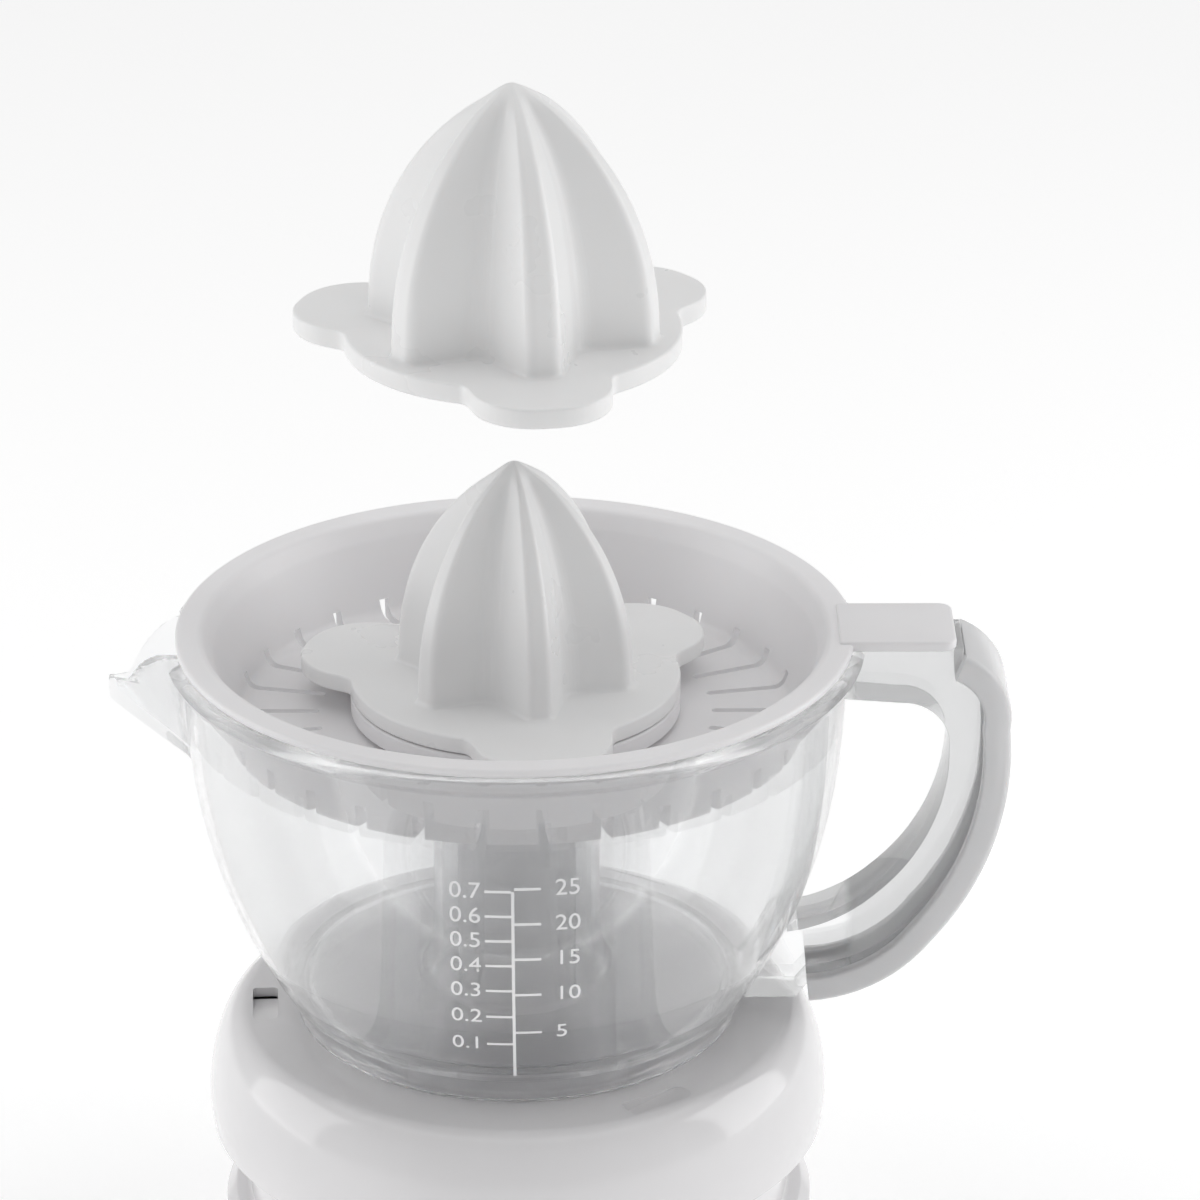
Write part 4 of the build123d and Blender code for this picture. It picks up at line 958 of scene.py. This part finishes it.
def strip_mesh(x0, x1, y0, y1):
    """Thin flat bar, divided along its longer side so that it can bend."""
    work = bmesh.new()
    columns = max(2, int(max(x1 - x0, y1 - y0) / 1.5))
    upright = y1 - y0 > x1 - x0
    loops = []
    for k in range(columns + 1):
        t = k / columns
        ends = ((x0, y0 + t * (y1 - y0)), (x1, y0 + t * (y1 - y0))) if upright else \
               ((x0 + t * (x1 - x0), y1), (x0 + t * (x1 - x0), y0))
        loops.append([work.verts.new((x * MM, y * MM, z * MM)) for x, y in ends
                      for z in (-MARK_T / 2, MARK_T / 2)])
    for a, b in zip(loops, loops[1:]):
        for i, j in ((0, 1), (1, 3), (3, 2), (2, 0)):
            work.faces.new((a[i], a[j], b[j], b[i]))
    for end in (loops[0], loops[-1]):
        work.faces.new((end[0], end[1], end[3], end[2]))
    bmesh.ops.recalc_face_normals(work, faces=work.faces)
    mesh = bpy.data.meshes.new("bar")
    work.to_mesh(mesh)
    work.free()
    return mesh


def merged(name, meshes, sharp=35.0):
    """One piece from several meshes."""
    work = bmesh.new()
    for mesh in meshes:
        work.from_mesh(mesh)
    mesh = bpy.data.meshes.new(name)
    work.to_mesh(mesh)
    work.free()
    return finish_mesh(name, mesh, sharp)


def scale_marks():
    """Upright line with ticks and numbers: tenths of a litre on its left, ounces on its right."""
    line_w, tick, size, ounce_x = 0.7, 6.3, 6.0, 9.4
    high = fill_height(700.0)
    meshes = [strip_mesh(-line_w / 2, line_w / 2, jug_floor_z + 2.0, high)]
    for tenths in range(1, 8):
        z = fill_height(100.0 * tenths)
        meshes.append(strip_mesh(-tick, -line_w / 2, z - line_w / 2, z + line_w / 2))
        meshes.append(number_mesh(f"0.{tenths}", size, -tick - 0.8, z, "RIGHT"))
    for ounces in range(5, 30, 5):
        z = fill_height(OUNCE * ounces)
        meshes.append(strip_mesh(line_w / 2, tick, z - line_w / 2, z + line_w / 2))
        meshes.append(number_mesh(str(ounces), size, ounce_x, z, "LEFT"))
    return wrapped(merged("volume_scale", meshes), MARK_T / 2 + 0.02)


marks = scale_marks()
marks.data.materials.clear()
marks.data.materials.append(mark_white)
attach(marks, "jug")

# ---------------------------------------------------------------- base
WALL = 2.4
FLOOR_T = 2.6
CAP_H = 0.6
GROOVE_H = 20.0
GROOVE_DEPTH = 6.0
PLATEAU_H = 2.2
HOUSING_LIP_H = 6.5
DECK_R = 64.5
PLATEAU_R = JUG_FOOT_R - 2.6
TOWER_R = TUBE_R - TUBE_WALL - 3.6
TOWER_WALL = 2.2
SPINDLE_HOLE_R = 6.0
POCKET_R = 60.5
wide_z = housing_z + HOUSING_LIP_H
plateau_z = deck_z + PLATEAU_H
groove_z = housing_z - GROOVE_H
groove_r = tray_r - GROOVE_DEPTH
skirt_in_r = groove_r - WALL - 2.0


def quarter(cx, cz, rx, rz, low, high, steps):
    """Points of an ellipse's arc between two angles."""
    result = []
    for k in range(steps + 1):
        a = math.radians(low + (high - low) * k / steps)
        result.append((cx + rx * math.cos(a), cz + rz * math.sin(a)))
    return result


def housing_profile():
    """Section of the upper casing with its plateau, deck, dome, skirt and tower."""
    start = [(SPINDLE_HOLE_R, tower_top, 0.3), (TOWER_R, tower_top, 1.2), (TOWER_R, plateau_z, 2.0),
             (PLATEAU_R, plateau_z, 0.8), (PLATEAU_R, deck_z, 0.8)]
    dome = quarter(DECK_R, wide_z, housing_r - DECK_R, deck_z - wide_z, 90.0, 0.0, 28)
    skirt = [(housing_r - CAP_H, housing_z, 0.8), (skirt_in_r, housing_z, 0.5),
             (skirt_in_r, housing_z + WALL, 0.3), (housing_r - WALL - CAP_H, housing_z + WALL, 0.5)]
    inner = quarter(DECK_R, wide_z, housing_r - DECK_R - WALL, deck_z - wide_z - WALL, 0.0, 90.0, 20)
    under = [(PLATEAU_R - WALL, deck_z - WALL, 0.3), (PLATEAU_R - WALL, plateau_z - WALL, 0.3),
             (TOWER_R - TOWER_WALL, plateau_z - WALL, 1.0),
             (TOWER_R - TOWER_WALL, tower_top - TOWER_WALL, 0.5),
             (SPINDLE_HOLE_R, tower_top - TOWER_WALL, 0.3)]
    points = [p[:2] for p in start] + dome + [p[:2] for p in skirt] + inner + [p[:2] for p in under]
    radii = [p[2] for p in start] + [0] * len(dome) + [p[2] for p in skirt]
    radii += [0] * len(inner) + [p[2] for p in under]
    return rounded(points, radii)


def pocket_cutter():
    """Ramped pocket: deep and square at one end, fading out at the other."""
    length, width, depth = 17.0, 6.0, 2.6
    outline = rounded([(POCKET_R - width / 2, -length / 2), (POCKET_R + width / 2, -length / 2),
                       (POCKET_R + width / 2, length / 2), (POCKET_R - width / 2, length / 2)],
                      [1.0, 1.0, 2.8, 2.8], steps=5)
    top = deck_z + 1.0
    bottom = [(x, y, deck_z - depth * (0.5 - y / length)) for x, y in outline]
    centre = (POCKET_R, 0.0)
    rings = [[(*centre, deck_z - depth / 2)], bottom, [(x, y, top) for x, y in outline], [(*centre, top)]]
    return rings_piece("pocket_cutter", rings)


def post_mesh(outer, inner, low, high, x, y, segments=32):
    """Tube standing at a place."""
    profile = rounded([(inner, low), (outer, low), (outer, high), (inner, high)], [0.2] * 4, steps=2)
    rings = [[(x + r * math.cos(math.tau * k / segments), y + r * math.sin(math.tau * k / segments), z)
              for k in range(segments)] for r, z in profile]
    return rings_piece("post", rings, loop=True)


def join_piece(piece, other):
    """Adds another piece's mesh to a piece without cutting."""
    work = bmesh.new()
    work.from_mesh(piece.data)
    work.from_mesh(other.data)
    work.to_mesh(piece.data)
    work.free()
    bpy.data.objects.remove(other)
    for face in piece.data.polygons:
        face.use_smooth = True
    piece.data.set_sharp_from_angle(angle=math.radians(35.0))
    return piece


SCREW_RING_R = 56.0
SCREW_START = 20.0
upper = lathe("upper_casing", housing_profile(), segments=240)
boolean(upper, repeated_round("pockets", pocket_cutter(), 3, 63.0), "DIFFERENCE")
join_piece(upper, repeated_round("upper_posts", post_mesh(4.0, 1.6, housing_z + 0.1, deck_z - WALL + 0.3,
                                                          SCREW_RING_R, 0.0), 4, SCREW_START))
dress(upper, housing_white, "base", "housing_white", "upper_housing")


def tray_profile():
    """Section of the lower casing: floor, wall, shoulder and the wall behind the groove."""
    corners = [(0.0, tray_z, 0), (tray_r, tray_z, 5.0), (tray_r, groove_z - WALL, 0.8),
               (tray_r - WALL, groove_z, 0.8), (groove_r, groove_z, 1.2), (groove_r, housing_z - 0.1, 0.2),
               (groove_r - WALL, housing_z - 0.1, 0.2), (groove_r - WALL, groove_z - WALL, 0.5),
               (tray_r - WALL, groove_z - 2 * WALL, 0.5), (tray_r - WALL, tray_z + FLOOR_T, 1.5),
               (0.0, tray_z + FLOOR_T, 0)]
    return rounded([c[:2] for c in corners], [c[2] for c in corners])


FOOT_R = 7.0
FOOT_RING_R = 54.0
FOOT_RECESS = 1.2
VENT_W = 2.4
lower = lathe("lower_casing", tray_profile(), loop=False, segments=240)


def round_cutter(radius, low, high, x, y, segments=48):
    """Plain cylinder for cutting."""
    rings = [[(x, y, low)]]
    for z in (low, high):
        turns = [math.tau * k / segments for k in range(segments)]
        rings.append([(x + radius * math.cos(a), y + radius * math.sin(a), z) for a in turns])
    rings.append([(x, y, high)])
    return rings_piece("round_cutter", rings)


FOOT_COUNT = 4
FOOT_START = 45.0
SCREW_COUNT = 4
SCREW_CUT_R = 3.1
POST_SPLIT = 10.0
LOW_POST = (4.4, 3.1)
HIGH_POST = (4.0, 1.7)
VENT_COUNT = 4
VENT_HALF = 12.0
VENT_PITCH = 6.0
foot_cut = round_cutter(FOOT_R, tray_z - 1.0, tray_z + FOOT_RECESS, FOOT_RING_R, 0.0)
boolean(lower, repeated_round("foot_cuts", foot_cut, FOOT_COUNT, FOOT_START), "DIFFERENCE")
boolean(lower, round_cutter(FOOT_R, tray_z - 1.0, tray_z + FOOT_RECESS, 0.0, 0.0), "DIFFERENCE")
screw_cut = round_cutter(SCREW_CUT_R, tray_z - 1.0, tray_z + FLOOR_T + 1.0, SCREW_RING_R, 0.0)
boolean(lower, repeated_round("screw_cuts", screw_cut, SCREW_COUNT, SCREW_START), "DIFFERENCE")
motor_low, motor_high = box_mm("motor_can")
motor_x, motor_y = (motor_low[0] + motor_high[0]) / 2, (motor_low[1] + motor_high[1]) / 2
vent_outline = rounded([(motor_x - VENT_HALF, -VENT_W / 2), (motor_x + VENT_HALF, -VENT_W / 2),
                        (motor_x + VENT_HALF, VENT_W / 2), (motor_x - VENT_HALF, VENT_W / 2)],
                       [1.1] * 4, steps=4)
for k in range(VENT_COUNT):
    shift = motor_y + VENT_PITCH * (k - (VENT_COUNT - 1) / 2)
    vent = slab("vent", [(x, y + shift) for x, y in vent_outline], tray_z - 1.0, tray_z + FLOOR_T + 1.0)
    boolean(lower, vent, "DIFFERENCE")
post_split_z = tray_z + POST_SPLIT
low_post = post_mesh(*LOW_POST, tray_z + 0.2, post_split_z, SCREW_RING_R, 0.0)
join_piece(lower, repeated_round("lower_posts", low_post, SCREW_COUNT, SCREW_START))
high_post = post_mesh(*HIGH_POST, post_split_z, housing_z - 0.1, SCREW_RING_R, 0.0)
join_piece(lower, repeated_round("high_posts", high_post, SCREW_COUNT, SCREW_START))
dress(lower, housing_white, "base", "housing_white", "lower_housing")


def foot_profile():
    """Rubber foot with a rounded edge and a shallow ring pressed into its face."""
    top = tray_z + FOOT_RECESS
    corners = [(0.0, 0.0, 0), (2.4, 0.0, 0.2), (2.7, 0.5, 0.2), (3.9, 0.5, 0.2), (4.2, 0.0, 0.2),
               (FOOT_R - 0.1, 0.0, 0.9), (FOOT_R - 0.1, top, 0.2), (0.0, top, 0)]
    return rounded([c[:2] for c in corners], [c[2] for c in corners])


foot = lathe("foot", foot_profile(), loop=False, segments=48)
middle_foot = lathe("middle_foot", foot_profile(), loop=False, segments=48)
for vertex in foot.data.vertices:
    vertex.co.x += FOOT_RING_R * MM
feet = repeated_round("rubber_feet", foot, FOOT_COUNT, FOOT_START)
join_piece(feet, middle_foot)
dress(feet, rubber_dark, "base", "foot_rubber", "feet")

# ---------------------------------------------------------------- carried-over pieces
SPRING_WIRE = 1.0
SPRING_TURNS = 3
(_, _, spring_low), (spring_r, _, spring_high) = box_mm("return_spring")


def spring_rings(turn_steps=48, wire_steps=12):
    """Rings of round wire along the spring's helix, closed by a pole at each end."""
    mean_r = spring_r - SPRING_WIRE / 2
    rise = spring_high - spring_low - SPRING_WIRE
    count = SPRING_TURNS * turn_steps
    rings = []
    for k in range(count + 1):
        z = spring_low + SPRING_WIRE / 2 + rise * k / count
        across = [polar(SPRING_WIRE / 2, 360.0 * i / wire_steps) for i in range(wire_steps)]
        rings.append([(*polar(mean_r + d, 360.0 * k / turn_steps), z + h) for d, h in across])
    first = [(*polar(mean_r, 0.0), spring_low + SPRING_WIRE / 2)]
    last = [(*polar(mean_r, 0.0), spring_high - SPRING_WIRE / 2)]
    return [first] + rings + [last]


spring = rings_piece("spring_coil", spring_rings())
dress(spring, steel_ground, "base", "spring_steel", "return_spring")
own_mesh(spring)

CARRIED = {
    "cord_gland": rubber_pale, "housing_screws": steel, "motor_can": steel, "stator_coils": copper,
    "motor_bushes": brass, "gear_plate": steel, "gear_cover": plastic_grey, "gear_axles": steel_ground,
    "gearbox_screws": steel, "lower_bush": brass, "upper_bush": brass, "spindle_seal": rubber_dark,
    "start_switch": plastic_black, "run_capacitor": capacitor_film,
    "rotor_magnet": ferrite, "rotor_shaft": steel_ground, "motor_pinion": brass, "idler_gear_1": nylon,
    "idler_gear_2": nylon, "press_plunger": plastic_grey, "switch_button": nylon, "output_gear": nylon,
    "drive_spindle": steel_ground,
}
for node, material in CARRIED.items():
    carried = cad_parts[node]
    carried.data.materials.clear()
    carried.data.materials.append(material)


# ---------------------------------------------------------------- surroundings
def floor_material():
    """Near-white sweep."""
    material, tree, shader, place = new_material("studio_floor")
    shader.inputs["Base Color"].default_value = (0.97, 0.97, 0.97, 1.0)
    shader.inputs["Roughness"].default_value = 0.85
    shader.inputs["Emission Color"].default_value = (1.0, 1.0, 1.0, 1.0)
    shader.inputs["Emission Strength"].default_value = 0.2
    noise = add_noise(tree, place, 4.0)
    add_bump(tree, shader, noise.outputs["Fac"], 0.05, 0.0005)
    return material


def plane_piece(name, half_x, half_y, place):
    """Flat rectangle at a height."""
    mesh = bpy.data.meshes.new(name)
    x, y, z = place
    mesh.from_pydata([(x - half_x, y - half_y, z), (x + half_x, y - half_y, z), (x + half_x, y + half_y, z),
                      (x - half_x, y + half_y, z)], [], [(0, 1, 2, 3)])
    piece = bpy.data.objects.new(name, mesh)
    bpy.context.collection.objects.link(piece)
    return piece


floor = plane_piece("floor", 6.0, 6.0, (0.0, 0.0, -0.0002))
floor.data.materials.append(floor_material())


def area_light(name, place, aim, width, height, watts):
    """Rectangular studio light aimed at a point."""
    data = bpy.data.lights.new(name, "AREA")
    data.shape = "RECTANGLE"
    data.size = width
    data.size_y = height
    data.energy = watts
    light = bpy.data.objects.new(name, data)
    light.location = place
    light.rotation_euler = (Vector(aim) - Vector(place)).to_track_quat("-Z", "Y").to_euler()
    bpy.context.collection.objects.link(light)
    return light


def sun_light(name, aim_from, spread_degrees, strength):
    """Very soft even light from one side, the same everywhere on the floor."""
    data = bpy.data.lights.new(name, "SUN")
    data.angle = math.radians(spread_degrees)
    data.energy = strength
    light = bpy.data.objects.new(name, data)
    light.rotation_euler = Vector(aim_from).to_track_quat("Z", "Y").to_euler()
    bpy.context.collection.objects.link(light)
    return light


middle = (0.0, 0.0, 0.14)
area_light("light_left", (-1.0, 0.05, 0.42), middle, 0.7, 0.9, 2.6)
area_light("light_right", (1.0, 0.1, 0.45), middle, 0.7, 0.9, 3.2)
sun_light("light_top", (0.0, 0.15, 1.0), 70.0, 0.5)


def studio_world():
    """Room that is bright behind the object and dim on the viewer's side."""
    world = bpy.data.worlds.new("studio")
    world.use_nodes = True
    nodes, links = world.node_tree.nodes, world.node_tree.links
    backing = nodes["Background"]
    backing.inputs["Color"].default_value = (1.0, 1.0, 1.0, 1.0)
    place = nodes.new("ShaderNodeTexCoord")
    split = nodes.new("ShaderNodeSeparateXYZ")
    links.new(place.outputs["Generated"], split.inputs["Vector"])
    span = nodes.new("ShaderNodeMapRange")
    span.interpolation_type = "SMOOTHSTEP"
    span.inputs["From Min"].default_value = -0.6
    span.inputs["From Max"].default_value = 0.7
    span.inputs["To Min"].default_value = 0.47
    span.inputs["To Max"].default_value = 0.6
    links.new(split.outputs["Y"], span.inputs["Value"])
    links.new(span.outputs["Result"], backing.inputs["Strength"])
    return world


bpy.context.scene.world = studio_world()
bpy.context.scene.view_settings.view_transform = "Standard"

# ---------------------------------------------------------------- camera
camera_data = bpy.data.cameras.new("camera")
camera_data.sensor_width = 36.0
camera_data.lens = 162.06
camera_data.clip_start = 0.05
camera = bpy.data.objects.new("camera", camera_data)
camera.location = (0.01494, -1.1504, 0.68196)
camera.rotation_euler = (math.radians(66.37), 0.0, math.radians(-0.24))
bpy.context.collection.objects.link(camera)
bpy.context.scene.camera = camera
